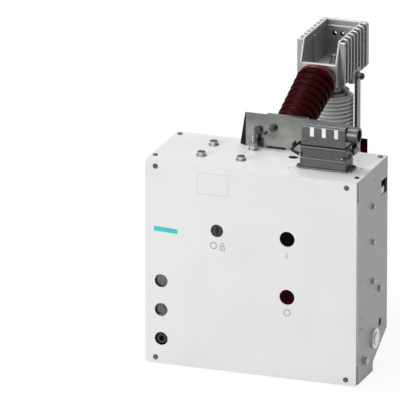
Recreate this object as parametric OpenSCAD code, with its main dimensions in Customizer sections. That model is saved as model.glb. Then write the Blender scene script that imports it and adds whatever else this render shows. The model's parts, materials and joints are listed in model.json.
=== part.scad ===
// Vacuum circuit breaker, single pole, with a stored-energy mechanism in a sheet-steel housing.
// Millimetres. X to the right, Y to the back, Z up; the origin is the centre of the base bolts.

/* [Housing] */
// Width of the housing
box_w = 520; // [500:1:600]
// Height of the housing
box_h = 498; // [480:1:560]
// Depth of the housing
box_d = 218; // [212:1:240]
// Depth of the flat bottom, which ends where the back slopes up
bottom_d = 120; // [112:1:124]
// Height at which the sloping back starts
slope_low = 22; // [16:1:26]
// Height at which the sloping back ends
slope_high = 77; // [70:1:82]
// Thickness of the sheet steel
sheet = 2.5; // [2:0.5:3]
// Depth of the front cover's side flanges
cover_flange = 14; // [10:1:18]
// Lower end of the cover's side flanges
cover_flange_low = 48; // [40:1:60]
// Distance of the cover flanges' upper end from the top
cover_flange_top = 51; // [40:1:60]
// Width of the inward flanges of the side plates
inner_flange = 20; // [16:1:24]

/* [Front panel] */
// Push buttons' distance to the right of the middle
button_x = 90; // [70:1:110]
// Height of the ON button
on_z = 341.5; // [320:0.5:360]
// Height of the OFF button
off_z = 199.5; // [190:0.5:215]
// Diameter of the push buttons' holes
button_bore = 37; // [35:0.5:40]
// Lock's distance to the left of the middle
lock_x = 83; // [70:1:100]
// Height of the lock
lock_z = 342; // [320:1:360]
// Diameter of the lock's hole
lock_bore = 31; // [30:0.5:34]
// Distance of the left column of holes from the middle
column_x = 221; // [216:1:224]
// Height of the position indicator
position_z = 203.5; // [200:0.5:210]
// Height of the spring-charged indicator
charged_z = 132.5; // [128:0.5:137]
// Height of the hand crank's shaft
crank_z = 61; // [58:0.5:64]
// Diameter of the holes in the left column
column_bore = 32; // [31:0.5:34]
// Travel of the push buttons
button_travel = 7; // [4:0.5:9]

/* [Fasteners] */
// Thread diameter of the four bolts on the top
top_bolt = 12; // [10:1:14]
// Distance between the top bolts across the width
top_pitch_x = 98; // [90:1:104]
// Distance between the top bolts across the depth
top_pitch_y = 84; // [78:1:90]
// Middle of the top bolts, to the left of the middle
top_bolts_x = 97; // [92:1:102]
// Middle of the top bolts, from the front
top_bolts_y = 110; // [104:1:114]
// Thread diameter of the side bolts
side_bolt = 8; // [6:1:10]
// Thread diameter of the cover screws
cover_screw = 6; // [5:0.5:7]
// Thread diameter of the earth terminal
earth_bolt = 12; // [10:1:12]
// Distance between the base bolts across the width
base_pitch_x = 360; // [350:1:368]
// Distance between the base bolts across the depth
base_pitch_y = 76; // [70:1:78]
// Diameter of the base bolt holes
base_hole = 13; // [11:0.5:14]

/* [Main shaft and linkage] */
// Main shaft's distance from the front
shaft_y = 116; // [114:0.5:118]
// Height of the main shaft
shaft_z = 82; // [81:0.5:84]
// Diameter of the main shaft
shaft_d = 30; // [26:1:32]
// Outer diameter of the bearing boss on the right side
boss_d = 49; // [46:1:52]
// How far the bearing boss stands out of the right side
boss_out = 9; // [6:1:12]
// Length of the shaft's phase lever and of the bell crank's lower arm
lever_r = 60; // [56:1:62]
// Length of the bell crank's upper arm
crank_r = 40; // [38:1:42]
// Stroke of the moving contact
contact_stroke = 12; // [8:0.5:13]
// Diameter of the link pins
link_pin = 10; // [9:0.5:11]
// Diameter of the insulating drive rod
rod_d = 24; // [20:1:26]
// Clearance of the pins in the rod's eyes and in the contact's eye, on the radius
eye_clear = 0.8; // [0.6:0.1:1.2]
// Running clearance of shafts in their bushes, on the radius
run_clear = 0.3; // [0.2:0.05:0.4]

/* [Charging drive] */
// Teeth of the worm wheel
wheel_teeth = 24; // [24:1:24]
// Module of the worm and wheel
gear_module = 3; // [2.8:0.1:3]
// Pitch radius of the worm
worm_pitch_r = 10; // [10:0.5:11]
// Diameter of the camshaft
cam_shaft_d = 20; // [18:1:22]
// Largest radius of the cam
cam_r = 36; // [34:1:37]
// Turns of the closing spring's spiral
spiral_turns = 7; // [4:1:8]

/* [Pole] */
// Pole's distance to the right of the middle
pole_x = 25; // [15:1:35]
// Distance of the interrupter's axis from the front
pole_y = 492; // [488:1:500]
// Height of the interrupter body's top
tube_top = 541; // [536:1:546]
// Number of ribs on the interrupter body
tube_ribs = 13; // [10:1:13]
// Distance from rib to rib on the interrupter body
tube_pitch = 9.7; // [9:0.1:10]
// Outer radius of the interrupter's ribs
tube_r = 49; // [46:1:50]
// Inner radius of the interrupter body
tube_bore_r = 37; // [35:1:38]
// Radius of the contact discs
contact_r = 22; // [18:1:24]
// Radius of the contact stems
stem_r = 11; // [9:1:12]
// Height of the bell crank's pivot
pivot_z = 330; // [326:1:334]
// Half the spacing of the two struts
strut_x = 62.5; // [60:0.5:64]
// Thickness of a strut
strut_t = 7; // [5:1:8]
// Width of a strut
strut_w = 23; // [18:1:26]
// Diameter of the strut bolts
strut_bolt = 10; // [8:1:12]

/* [Upper insulator and pole head] */
// Length of the post insulator
post_len = 191; // [185:1:193]
// Radius over the insulator's sheds
shed_r = 42.5; // [40:0.5:44]
// Radius of the insulator's core
core_r = 33; // [30:1:35]
// Number of sheds
sheds = 8; // [6:1:10]
// Tilt of the insulator above the horizontal, in degrees
post_tilt = 22; // [20:0.5:23]
// Inner width of the pole head
head_in_w = 76; // [70:1:80]
// Thickness of the pole head's walls
head_wall = 9; // [7:1:10]
// Top of the pole head
head_top = 697; // [690:1:705]
// How far the cooling fins stand out of the wall
fin_out = 16; // [12:1:18]
// Number of cooling fins on each side
fins = 8; // [6:1:8]
// Distance from fin to fin
fin_pitch = 22; // [18:1:22]
// Thickness of a fin
fin_t = 8; // [5:1:10]
// Distance between the terminal holes in the pole head's back wall
terminal_pitch = 20; // [18:1:22]
// Diameter of the terminal holes
terminal_hole = 11; // [9:0.5:12]

/* [Plug connection] */
// Length of the plug base
plug_l = 129; // [120:1:136]
// Width of the plug base
plug_w = 50; // [46:1:54]
// Middle of the plug, to the right of the middle
plug_x = 151; // [146:1:156]
// Middle of the plug, from the front
plug_y = 87; // [82:1:92]
// Height of the plug base
plug_base_h = 55; // [50:1:60]
// Height of the plug's hood
plug_hood_h = 51; // [48:1:56]
// Outer radius of the cable gland
gland_r = 19; // [17:0.5:20]
// Bore radius of the cable gland
gland_bore_r = 13; // [10:0.5:14]
// How far the locking levers swing, in degrees
plug_lever_swing = 65; // [40:1:70]

/* [Hidden] */
$fn = 48;

steel_paint = [0.90, 0.90, 0.89];
side_paint = [0.82, 0.82, 0.81];
zinc = [0.72, 0.74, 0.75];
bare_steel = [0.60, 0.61, 0.62];
cast_alloy = [0.70, 0.70, 0.69];
dark_metal = [0.25, 0.25, 0.26];
black_plastic = [0.08, 0.08, 0.08];
red_plastic = [0.30, 0.03, 0.06];
oxblood = [0.28, 0.06, 0.08];
copper = [0.72, 0.45, 0.32];
brass = [0.78, 0.65, 0.35];
pale_ceramic = [0.80, 0.80, 0.79];
grey_casting = [0.42, 0.43, 0.44];

half_w = box_w / 2;
inner_w = half_w - sheet;
joint_gap = 0.5;
hole_clear = 0.3;
slope_run = box_d - bottom_d;
slope_rise = slope_high - slope_low;
slope_angle = atan2(slope_rise, slope_run);
// Height of the sloping back's inner face at a distance y from the front
function slope_inner(y) = slope_low + (y - bottom_d) * slope_rise / slope_run + sheet / cos(slope_angle);

// Linkage: both arms stand square to the rod at the middle of the stroke
lever_swing = contact_stroke / crank_r * 180 / PI;
rod_travel = lever_r * lever_swing * PI / 180;
// The rod's line lies where the pins' arcs stray least from it
rod_r = lever_r * (1 + cos(lever_swing / 2)) / 2;
pivot_y = pole_y - crank_r;
span_y = pivot_y - shaft_y;
span_z = pivot_z - shaft_z;
span = sqrt(span_y * span_y + span_z * span_z);
rod_lean = asin(2 * rod_r / span);
rod_tilt = atan2(span_z, span_y) - rod_lean;
rod_len = span * cos(rod_lean);
// Height of the rod's middle line at a distance y from the front
function rod_height(y) =
    shaft_z + rod_r * cos(rod_tilt) + (y - shaft_y + rod_r * sin(rod_tilt)) * tan(rod_tilt);

// Everything is drawn from the middle of the front's lower edge, then moved to the base bolts
module placed() {
    translate([0, -bottom_d / 2, 0]) children();
}

// A block between its lowest and highest corners
module block(low, high) {
    translate(low) cube(high - low);
}

// Round bars along X, Y and Z
module bar_x(r, x0, x1, y, z) {
    translate([x0, y, z]) rotate([0, 90, 0]) cylinder(r = r, h = x1 - x0);
}

module bar_y(r, y0, y1, x, z) {
    translate([x, y0, z]) rotate([-90, 0, 0]) cylinder(r = r, h = y1 - y0);
}

module bar_z(r, z0, z1, x, y) {
    translate([x, y, z0]) cylinder(r = r, h = z1 - z0);
}

// A profile drawn in depth and height, drawn out along X
module profile_x(points, x0, x1) {
    translate([x0, 0, 0]) rotate([90, 0, 90]) linear_extrude(x1 - x0) polygon(points);
}

// Hexagon bolt with a washer; its seat is at height 0 and its shank points down
washer_t = 2.5;
head_ratio = 0.65;
hex_ratio = 0.86;
module hex_bolt(d, shank) {
    translate([0, 0, -shank]) cylinder(d = d, h = shank);
    cylinder(r = d, h = washer_t);
    translate([0, 0, washer_t]) cylinder(r = d * hex_ratio, h = d * head_ratio, $fn = 6);
}

// Housing

corner_inset_x = 25;
corner_inset_z = 14.5;
module corner_points() {
    for (x = [-half_w + corner_inset_x, half_w - corner_inset_x])
        for (z = [corner_inset_z, box_h - corner_inset_z])
            translate([x, 0, z]) rotate([90, 0, 0]) children();
}

// Places of the three holes in the left column
column_z = [position_z, charged_z, crank_z];

// Notches in the rims of the ON hole and of the crank's hole
notch_w = 5;
notch_h = 4;

module front_cover() placed() color(steel_paint) {
    difference() {
        block([-half_w, 0, 0], [half_w, sheet, box_h]);
        bar_y(button_bore / 2, -1, sheet + 1, button_x, on_z);
        bar_y(button_bore / 2, -1, sheet + 1, button_x, off_z);
        bar_y(lock_bore / 2, -1, sheet + 1, -lock_x, lock_z);
        for (z = column_z) bar_y(column_bore / 2, -1, sheet + 1, -column_x, z);
        corner_points() translate([0, 0, -sheet - 1]) cylinder(d = cover_screw + 2 * hole_clear, h = sheet + 2);
    }
    for (side = [-1, 1]) {
        x = side > 0 ? inner_w : -half_w;
        block([x, sheet, cover_flange_low], [x + sheet, cover_flange, box_h - cover_flange_top]);
    }
}

lap_depth = 30;
tab_r = 12;
tab_depth = 12;
side_front = cover_flange + joint_gap;
side_top = box_h - sheet;
side_outline = [
    [side_front, 0], [bottom_d, 0], [bottom_d, slope_low],
    [box_d, slope_high], [box_d, side_top], [side_front, side_top]
];

// Places of the side bolts and of the small holes, as depth and height
side_bolt_places = [[110, 407], [110, 320], [112, 223], [158, 191]];
small_hole_places = [[40, 245], [127, 183], [127, 468], [37, 156], [39, 130]];
small_hole_r = 3;
vent_r = 10;
vent_y = 169;
vent_z = 105;
earth_y = 53;
earth_z = 47;
notch_low = 412;
notch_high = 448;
notch_front = 173;
notch_reach = 9;

// The part that both side plates share, drawn for the right side
module side_shell() {
    difference() {
        union() {
            profile_x(side_outline, inner_w, half_w);
            block([inner_w - sheet, sheet, 2 * sheet], [inner_w, lap_depth, side_top - sheet]);
            block([inner_w - inner_flange, sheet, side_top - sheet], [inner_w, box_d - sheet, side_top]);
            block([inner_w - inner_flange, sheet, sheet], [inner_w, bottom_d - sheet, 2 * sheet]);
            for (z = [corner_inset_z, box_h - corner_inset_z])
                block([half_w - corner_inset_x - tab_r, sheet, z - tab_r + 1], [inner_w, 2 * sheet, z + tab_r - 1]);
            block([inner_w - inner_flange, box_d - 2 * sheet, slope_high + 2 * sheet],
                  [inner_w, box_d - sheet, side_top - sheet]);
        }
        for (p = side_bolt_places)
            bar_x(side_bolt / 2 + hole_clear, inner_w - 1, half_w + 1, p[0], p[1]);
        for (p = small_hole_places) bar_x(small_hole_r, inner_w - 1, half_w + 1, p[0], p[1]);
        corner_points() translate([0, 0, -tab_depth]) cylinder(d = cover_screw, h = tab_depth);
        top_screw_points() translate([0, 0, -2 * sheet]) cylinder(d = cover_screw + 2 * hole_clear, h = 4 * sheet);
    }
}

module left_side_plate() placed() color(side_paint) mirror([1, 0, 0]) side_shell();

module right_side_plate() placed() color(side_paint) {
    difference() {
        side_shell();
        bar_x(boss_d / 2, inner_w - 1, half_w + 1, shaft_y, shaft_z);
        bar_x(vent_r, inner_w - 1, half_w + 1, vent_y, vent_z);
        bar_x(earth_bolt / 2 + hole_clear, inner_w - 1, half_w + 1, earth_y, earth_z);
        block([inner_w - notch_reach, notch_front, notch_low], [half_w + 1, box_d + 1, notch_high]);
    }
}

// Screws on the top, mirrored so that both side plates are held alike
top_screw_x = 248;
top_screw_y = [35, 200];
module top_screw_points() {
    for (x = [-top_screw_x, top_screw_x])
        for (y = top_screw_y)
            translate([x, y, box_h]) children();
}

module top_bolt_points() {
    for (x = [-top_bolts_x - top_pitch_x / 2, -top_bolts_x + top_pitch_x / 2])
        for (y = [top_bolts_y - top_pitch_y / 2, top_bolts_y + top_pitch_y / 2])
            translate([x, y, box_h]) children();
}

cable_hole_r = 12.5;
cable_hole_x = 59;
cable_hole_y = 132;
plug_hole_w = 30;
plug_hole_l = 105;
plate_hole = 9;
top_hole_places = [[236, 105], [76, 52]];

module top_cover() placed() color(steel_paint) {
    difference() {
        block([-half_w, sheet, box_h - sheet], [half_w, box_d, box_h]);
        top_bolt_points() translate([0, 0, -2 * sheet]) cylinder(d = top_bolt + 2 * hole_clear, h = 4 * sheet);
        top_screw_points() translate([0, 0, -2 * sheet]) cylinder(d = cover_screw + 2 * hole_clear, h = 4 * sheet);
        bracket_bolt_points() translate([0, 0, -2 * sheet]) cylinder(d = plate_hole, h = 4 * sheet);
        bar_z(cable_hole_r, box_h - 2 * sheet, box_h + 1, cable_hole_x, cable_hole_y);
        for (p = top_hole_places) bar_z(small_hole_r, box_h - 2 * sheet, box_h + 1, p[0], p[1]);
        translate([plug_x - plug_hole_l / 2, plug_y - plug_hole_w / 2, box_h - 2 * sheet])
            cube([plug_hole_l, plug_hole_w, 4 * sheet]);
    }
}

rod_hole_r = 30;
support_bolt_r = 62;
support_z = 345;

module back_plate() placed() color(side_paint) {
    difference() {
        profile_x([
            [bottom_d, sheet], [bottom_d, slope_low], [box_d, slope_high], [box_d, side_top],
            [box_d - sheet, side_top], [box_d - sheet, slope_inner(box_d - sheet)],
            [bottom_d - sheet, slope_inner(bottom_d - sheet)], [bottom_d - sheet, sheet]
        ], -inner_w, inner_w);
        bar_y(rod_hole_r, box_d - 2 * sheet, box_d + 1, pole_x, rod_height(box_d));
        support_bolt_points() cylinder(d = strut_bolt + 2 * hole_clear, h = 4 * sheet, center = true);
        block([inner_w - notch_reach, box_d - 2 * sheet, notch_low], [half_w, box_d + 1, notch_high]);
    }
}

module base_hole_points() {
    for (x = [-base_pitch_x / 2, base_pitch_x / 2])
        for (y = [bottom_d / 2 - base_pitch_y / 2, bottom_d / 2 + base_pitch_y / 2])
            translate([x, y, 0]) children();
}

module bottom_plate() placed() color(side_paint) {
    difference() {
        block([-inner_w, sheet, 0], [inner_w, bottom_d, sheet]);
        base_hole_points() translate([0, 0, -1]) cylinder(d = base_hole, h = sheet + 2);
    }
}

// Flat-headed cover screw; its seat is at height 0
screw_head_r = 6;
screw_head_h = 3;
slot_w = 1.6;
module cover_screw_shape(shank) {
    translate([0, 0, -shank]) cylinder(d = cover_screw, h = shank);
    difference() {
        union() {
            cylinder(r = screw_head_r, h = screw_head_h * 0.6);
            translate([0, 0, screw_head_h * 0.6]) cylinder(r1 = screw_head_r, r2 = screw_head_r - 1.4, h = screw_head_h * 0.4);
        }
        translate([-screw_head_r, -slot_w / 2, screw_head_h - 1.5]) cube([2 * screw_head_r, slot_w, 2]);
    }
}

module cover_screws() placed() color(zinc) {
    corner_points() cover_screw_shape(tab_depth);
    top_screw_points() cover_screw_shape(5 * sheet);
}

frame_t = 6;
frame_inner = inner_w - frame_t;

module side_bolts() placed() color(zinc) {
    for (side = [-1, 1])
        for (p = side_bolt_places)
            translate([side * half_w, p[0], p[1]]) rotate([0, 90 * side, 0]) hex_bolt(side_bolt, sheet + frame_t);
}

weld_nut_h = 10;
module top_bolts() placed() color(zinc) top_bolt_points() hex_bolt(top_bolt, sheet + weld_nut_h);

module earth_terminal() placed() color(brass) {
    translate([half_w, earth_y, earth_z]) rotate([0, 90, 0]) hex_bolt(earth_bolt, sheet + weld_nut_h);
}

// Mechanism frame: four plates bolted to the side plates

frame_front = 40;
frame_top = 430;
rear_y = 200;
slope_gap = 3;
middle_wall_x = -130;
middle_wall_t = 6;
middle_wall_top = 300;
cam_y = 65;
cam_z = crank_z + worm_pitch_r + gear_module * wheel_teeth / 2;
cam_bush_r = 16;
shaft_bush_r = 22;

wall_outline = [
    [frame_front, 2 * sheet + 1], [bottom_d - 10, 2 * sheet + 1], [bottom_d - 10, slope_inner(bottom_d) + slope_gap],
    [rear_y, slope_inner(rear_y) + slope_gap], [rear_y, frame_top], [frame_front, frame_top]
];

module left_frame_wall() placed() color(zinc) {
    difference() {
        profile_x(wall_outline, -inner_w, -frame_inner);
        bar_x(cam_bush_r, -inner_w - 1, -frame_inner + 1, cam_y, cam_z);
        for (p = side_bolt_places) bar_x(side_bolt / 2, -inner_w - 1, -frame_inner + 1, p[0], p[1]);
    }
}

module right_frame_wall() placed() color(zinc) {
    difference() {
        profile_x(wall_outline, frame_inner, inner_w);
        bar_x(boss_d / 2, frame_inner - 1, inner_w + 1, shaft_y, shaft_z);
        bar_x(vent_r, frame_inner - 1, inner_w + 1, vent_y, vent_z);
        bar_x(earth_clear_r, frame_inner - 1, inner_w + 1, earth_y, earth_z);
        for (p = side_bolt_places) bar_x(side_bolt / 2, frame_inner - 1, inner_w + 1, p[0], p[1]);
    }
}
earth_clear_r = 8;

module middle_frame_wall() placed() color(zinc) {
    x0 = middle_wall_x - middle_wall_t / 2;
    x1 = middle_wall_x + middle_wall_t / 2;
    difference() {
        profile_x([
            [frame_front, sheet], [bottom_d - 10, sheet], [bottom_d - 10, slope_inner(bottom_d) + slope_gap],
            [rear_y, slope_inner(rear_y) + slope_gap], [rear_y, middle_wall_top], [frame_front, middle_wall_top]
        ], x0, x1);
        bar_x(cam_bush_r, x0 - 1, x1 + 1, cam_y, cam_z);
        bar_x(shaft_bush_r, x0 - 1, x1 + 1, shaft_y, shaft_z);
    }
}

rear_low = 100;
rod_window_w = 66;
rod_window_h = 64;
module rear_frame_plate() placed() color(zinc) {
    difference() {
        block([-inner_w, rear_y, rear_low], [inner_w, rear_y + frame_t, frame_top]);
        translate([pole_x - rod_window_w / 2, rear_y - 1, rod_height(rear_y) - rod_window_h / 2])
            cube([rod_window_w, frame_t + 2, rod_window_h]);
        support_bolt_points() cylinder(d = strut_bolt, h = 6 * frame_t, center = true);
        bar_y(solenoid_core_r, rear_y - 1, rear_y + frame_t + 1, button_x, on_z);
        bar_y(solenoid_core_r, rear_y - 1, rear_y + frame_t + 1, button_x, off_z);
        block([inner_w - 14, rear_y - 1, notch_low - 2], [inner_w + 1, rear_y + frame_t + 1, frame_top + 1]);
    }
}

// Push buttons, lock and indicators

guide_wall = 3;
guide_depth = 28;
button_r = button_bore / 2 - 1;
button_front = 3;
button_head = 11;
button_stem_r = 5;
collar_r = 8;
collar_t = 3;
button_end = 46;
finger_r = 30;

// A button with its stem and the collar that holds it in its guide
module push_button(z) {
    difference() {
        bar_y(button_r, button_front, button_front + button_head, button_x, z);
        translate([button_x, button_front - finger_r + 1.5, z]) sphere(r = finger_r, $fn = 32);
    }
    bar_y(button_stem_r, button_front + button_head, button_end, button_x, z);
    bar_y(collar_r, guide_depth + guide_wall + hole_clear, guide_depth + guide_wall + hole_clear + collar_t,
          button_x, z);
}

module on_button() placed() color(black_plastic) push_button(on_z);

module off_button() placed() color(red_plastic) push_button(off_z);

module button_guides() placed() color(black_plastic) {
    for (z = [on_z, off_z]) difference() {
        bar_y(button_bore / 2 + guide_wall, sheet, guide_depth + guide_wall, button_x, z);
        bar_y(button_bore / 2 - 0.5, sheet - 1, guide_depth, button_x, z);
        bar_y(button_stem_r + run_clear, guide_depth - 1, guide_depth + guide_wall + 1, button_x, z);
    }
}

lock_depth = 32;
lock_r = lock_bore / 2 - 1;
lock_slot_w = 3;
module lock_housing() placed() color(black_plastic) {
    difference() {
        bar_y(lock_bore / 2 + guide_wall, sheet, lock_depth + guide_wall, -lock_x, lock_z);
        bar_y(lock_r + run_clear, sheet - 1, lock_depth, -lock_x, lock_z);
    }
}

module lock_cylinder() placed() color(bare_steel) {
    difference() {
        bar_y(lock_r, button_front, lock_depth - run_clear, -lock_x, lock_z);
        block([-lock_x - lock_slot_w / 2, button_front - 1, lock_z - lock_r * 0.7],
              [-lock_x + lock_slot_w / 2, button_front + 6, lock_z + lock_r * 0.7]);
    }
}

disc_r = column_bore / 2 - 1;
disc_front = 8;
disc_t = 3;
spindle_r = 3;
spindle_end = 24;
bracket_y = 16;
bracket_t = 3;
bracket_half_w = 20;
bracket_reach = 20;

// An indicator disc on its spindle
module indicator(z) {
    bar_y(disc_r, disc_front, disc_front + disc_t, -column_x, z);
    bar_y(spindle_r * 2, disc_front + disc_t, bracket_y - run_clear, -column_x, z);
    bar_y(spindle_r, bracket_y - run_clear, spindle_end, -column_x, z);
    bar_y(spindle_r * 1.6, bracket_y + bracket_t + run_clear, bracket_y + bracket_t + run_clear + 2, -column_x, z);
}

pointer_w = 5;
module position_indicator() placed() color(cast_alloy) {
    indicator(position_z);
    block([-column_x - disc_r * 0.6, disc_front - 1, position_z - pointer_w / 2],
          [-column_x + disc_r * 0.6, disc_front, position_z + pointer_w / 2]);
}

module charge_indicator() placed() color(dark_metal) {
    indicator(charged_z);
    bar_y(disc_r / 2, disc_front - 2, disc_front, -column_x, charged_z);
}

module indicator_bracket() placed() color(zinc) {
    low = charged_z - bracket_reach;
    high = position_z + bracket_reach;
    x0 = -column_x - bracket_half_w;
    x1 = -column_x + bracket_half_w;
    difference() {
        block([x0, bracket_y, low], [x1, bracket_y + bracket_t, high]);
        for (z = [position_z, charged_z])
            bar_y(spindle_r + run_clear, bracket_y - 1, bracket_y + bracket_t + 1, -column_x, z);
    }
    for (z = [low, high - bracket_t]) block([x0, sheet, z], [x1, bracket_y, z + bracket_t]);
}

// Charging drive: hand crank, worm, worm wheel, camshaft and closing spring

crank_shaft_r = 5;
crank_head_r = 12;
crank_head_front = 4;
crank_head_end = 30;
crank_end = 122;
socket_depth = 16;
socket_r = 7;
module crank_shaft() placed() color(bare_steel) {
    difference() {
        bar_y(crank_head_r, crank_head_front, crank_head_end, -column_x, crank_z);
        translate([-column_x, crank_head_front - 1, crank_z]) rotate([-90, 0, 0])
            cylinder(r = socket_r, h = socket_depth, $fn = 6);
    }
    bar_y(crank_shaft_r, crank_head_end, crank_end, -column_x, crank_z);
}

crank_guide_end = 26;
module crank_guide() placed() color(black_plastic) {
    difference() {
        bar_y(column_bore / 2 + guide_wall, sheet, crank_guide_end, -column_x, crank_z);
        bar_y(crank_head_r + run_clear, sheet - 1, crank_guide_end + 1, -column_x, crank_z);
    }
}

gear_pitch = PI * gear_module;
worm_root_r = worm_pitch_r - 1.2 * gear_module;
worm_tip_r = worm_pitch_r + 0.9 * gear_module;
worm_turns = 3;
worm_steps = 16;
// Share of a turn that the thread's crest takes, and that each flank takes
crest_share = 0.14;
flank_share = 0.18;
// Angle that puts a gap of the thread under the wheel's lowest tooth
worm_start = 90;
function thread_r(share) =
    let (from_middle = abs(share - 0.5))
    from_middle < crest_share / 2 ? worm_tip_r
    : from_middle > crest_share / 2 + flank_share ? worm_root_r
    : worm_tip_r - (worm_tip_r - worm_root_r) * (from_middle - crest_share / 2) / flank_share;

module charging_worm() placed() color(brass) {
    length = worm_turns * gear_pitch;
    translate([-column_x, cam_y - length / 2, crank_z]) rotate([-90, 0, 0]) difference() {
        linear_extrude(length, twist = -360 * worm_turns, slices = worm_turns * worm_steps, $fn = worm_steps)
            polygon([for (i = [0 : worm_steps - 1]) let (a = worm_start + 360 * i / worm_steps)
                thread_r(i / worm_steps) * [cos(a), sin(a)]]);
        translate([0, 0, -1]) cylinder(r = crank_shaft_r, h = length + 2);
    }
}

wheel_r = gear_module * wheel_teeth / 2;
wheel_tip_r = wheel_r + 0.9 * gear_module;
wheel_root_r = wheel_r - 1.2 * gear_module;
wheel_w = 10;
cam_r_shaft = cam_shaft_d / 2;
// Share of the pitch that a tooth takes at its tip and at its root
tooth_tip = 0.22;
tooth_root = 0.62;
module worm_wheel() placed() color(brass) {
    step = 360 / wheel_teeth;
    translate([-column_x - wheel_w / 2, cam_y, cam_z]) rotate([90, 0, 90]) difference() {
        union() {
            linear_extrude(wheel_w) polygon([for (i = [0 : wheel_teeth - 1]) for (k = [
                [-tooth_root / 2, wheel_root_r], [-tooth_tip / 2, wheel_tip_r],
                [tooth_tip / 2, wheel_tip_r], [tooth_root / 2, wheel_root_r]
            ]) k[1] * [cos(-90 + wheel_phase + (i + k[0]) * step), sin(-90 + wheel_phase + (i + k[0]) * step)]]);
            translate([0, 0, wheel_w]) cylinder(r = cam_bush_r, h = wheel_w / 2);
        }
        translate([0, 0, -1]) cylinder(r = cam_r_shaft, h = 2 * wheel_w);
    }
}
wheel_phase = 0;

cam_x = -100;
cam_t = 8;
cam_base_r = 22;
roller_r = 8;
module camshaft() placed() color(bare_steel) {
    bar_x(cam_r_shaft, -frame_inner, cam_x + cam_t, cam_y, cam_z);
    // The cam is a spiral from its base circle up to its lobe
    translate([cam_x - cam_t / 2, cam_y, cam_z]) rotate([90, 0, 90]) linear_extrude(cam_t)
        polygon([for (i = [0 : 47]) let (rise = i < 36 ? i / 36 : (48 - i) / 12)
            (cam_base_r + (cam_r - cam_base_r) * rise) * [cos(7.5 * i), sin(7.5 * i)]]);
}

barrel_x0 = -200;
barrel_x1 = -170;
barrel_r = 36;
barrel_wall = 2;
barrel_foot_w = 40;
module spring_barrel() placed() color(dark_metal) {
    difference() {
        union() {
            bar_x(barrel_r + barrel_wall, barrel_x0, barrel_x1, cam_y, cam_z);
            block([barrel_x0, cam_y - barrel_foot_w / 2, sheet], [barrel_x1, cam_y + barrel_foot_w / 2, cam_z - barrel_r]);
        }
        bar_x(barrel_r, barrel_x0 + barrel_wall, barrel_x1 - barrel_wall, cam_y, cam_z);
        bar_x(cam_r_shaft + run_clear, barrel_x0 - 1, barrel_x1 + 1, cam_y, cam_z);
    }
}

spiral_t = 1.2;
spiral_steps = 16;
spiral_r0 = cam_r_shaft + 1.5;
spiral_r1 = barrel_r - spiral_t / 2;
function spiral_point(i, side) =
    let (share = i / (spiral_turns * spiral_steps), a = 360 * i / spiral_steps)
    (spiral_r0 + (spiral_r1 - spiral_r0) * share + side * spiral_t / 2) * [cos(a), sin(a)];
module closing_spring() placed() color(bare_steel) {
    last = spiral_turns * spiral_steps;
    translate([barrel_x0 + barrel_wall + 1, cam_y, cam_z]) rotate([90, 0, 90])
        linear_extrude(barrel_x1 - barrel_x0 - 2 * barrel_wall - 2) polygon(concat(
            [for (i = [0 : last]) spiral_point(i, 1)],
            [for (i = [last : -1 : 0]) spiral_point(i, -1)]
        ));
}

gearbox_front = 110;
gearbox_back = 152;
gearbox_low = 46;
gearbox_high = 112;
gearbox_half = 24;
module motor_gearbox() placed() color(grey_casting) {
    difference() {
        union() {
            block([-column_x - gearbox_half, gearbox_front, gearbox_low],
                  [-column_x + gearbox_half, gearbox_back, gearbox_high]);
            block([-column_x - gearbox_half, bottom_d - 24, 2 * sheet],
                  [-column_x + gearbox_half, bottom_d - sheet - 1, gearbox_low]);
        }
        bar_y(crank_shaft_r + run_clear, gearbox_front - 1, crank_end + 1, -column_x, crank_z);
    }
}

motor_r = 26;
motor_len = 90;
motor_y = 134;
module charging_motor() placed() color(dark_metal) {
    bar_z(motor_r, gearbox_high, gearbox_high + motor_len, -column_x, motor_y);
    bar_z(motor_r * 0.7, gearbox_high + motor_len, gearbox_high + motor_len + 8, -column_x, motor_y);
}

// Main shaft, its levers and the linkage to the pole

// Width of an arm's web as a share of its round ends
web_share = 0.84;

// The web and far end of an arm that lies along X from a hub of radius r1 to an end of radius r2
module arm_web(len, r1, r2) {
    translate([len, 0]) circle(r2);
    polygon([[0, -web_share * r1], [len, -web_share * r2], [len, web_share * r2], [0, web_share * r1]]);
}

// A whole arm with its hub
module arm(len, r1, r2, t) {
    linear_extrude(t) union() {
        circle(r1);
        arm_web(len, r1, r2);
    }
}
// Places an arm so that it turns about X; 0 points to the back and 90 points up
module turned_arm(x, y, z, angle) {
    translate([x, y, z]) rotate([angle, 0, 0]) rotate([90, 0, 90]) children();
}

shaft_left = -142;
shaft_proud = 3;
shaft_r = shaft_d / 2;
module main_shaft() placed() color(bare_steel) {
    bar_x(shaft_r, shaft_left, half_w + boss_out + shaft_proud, shaft_y, shaft_z);
}

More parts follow.
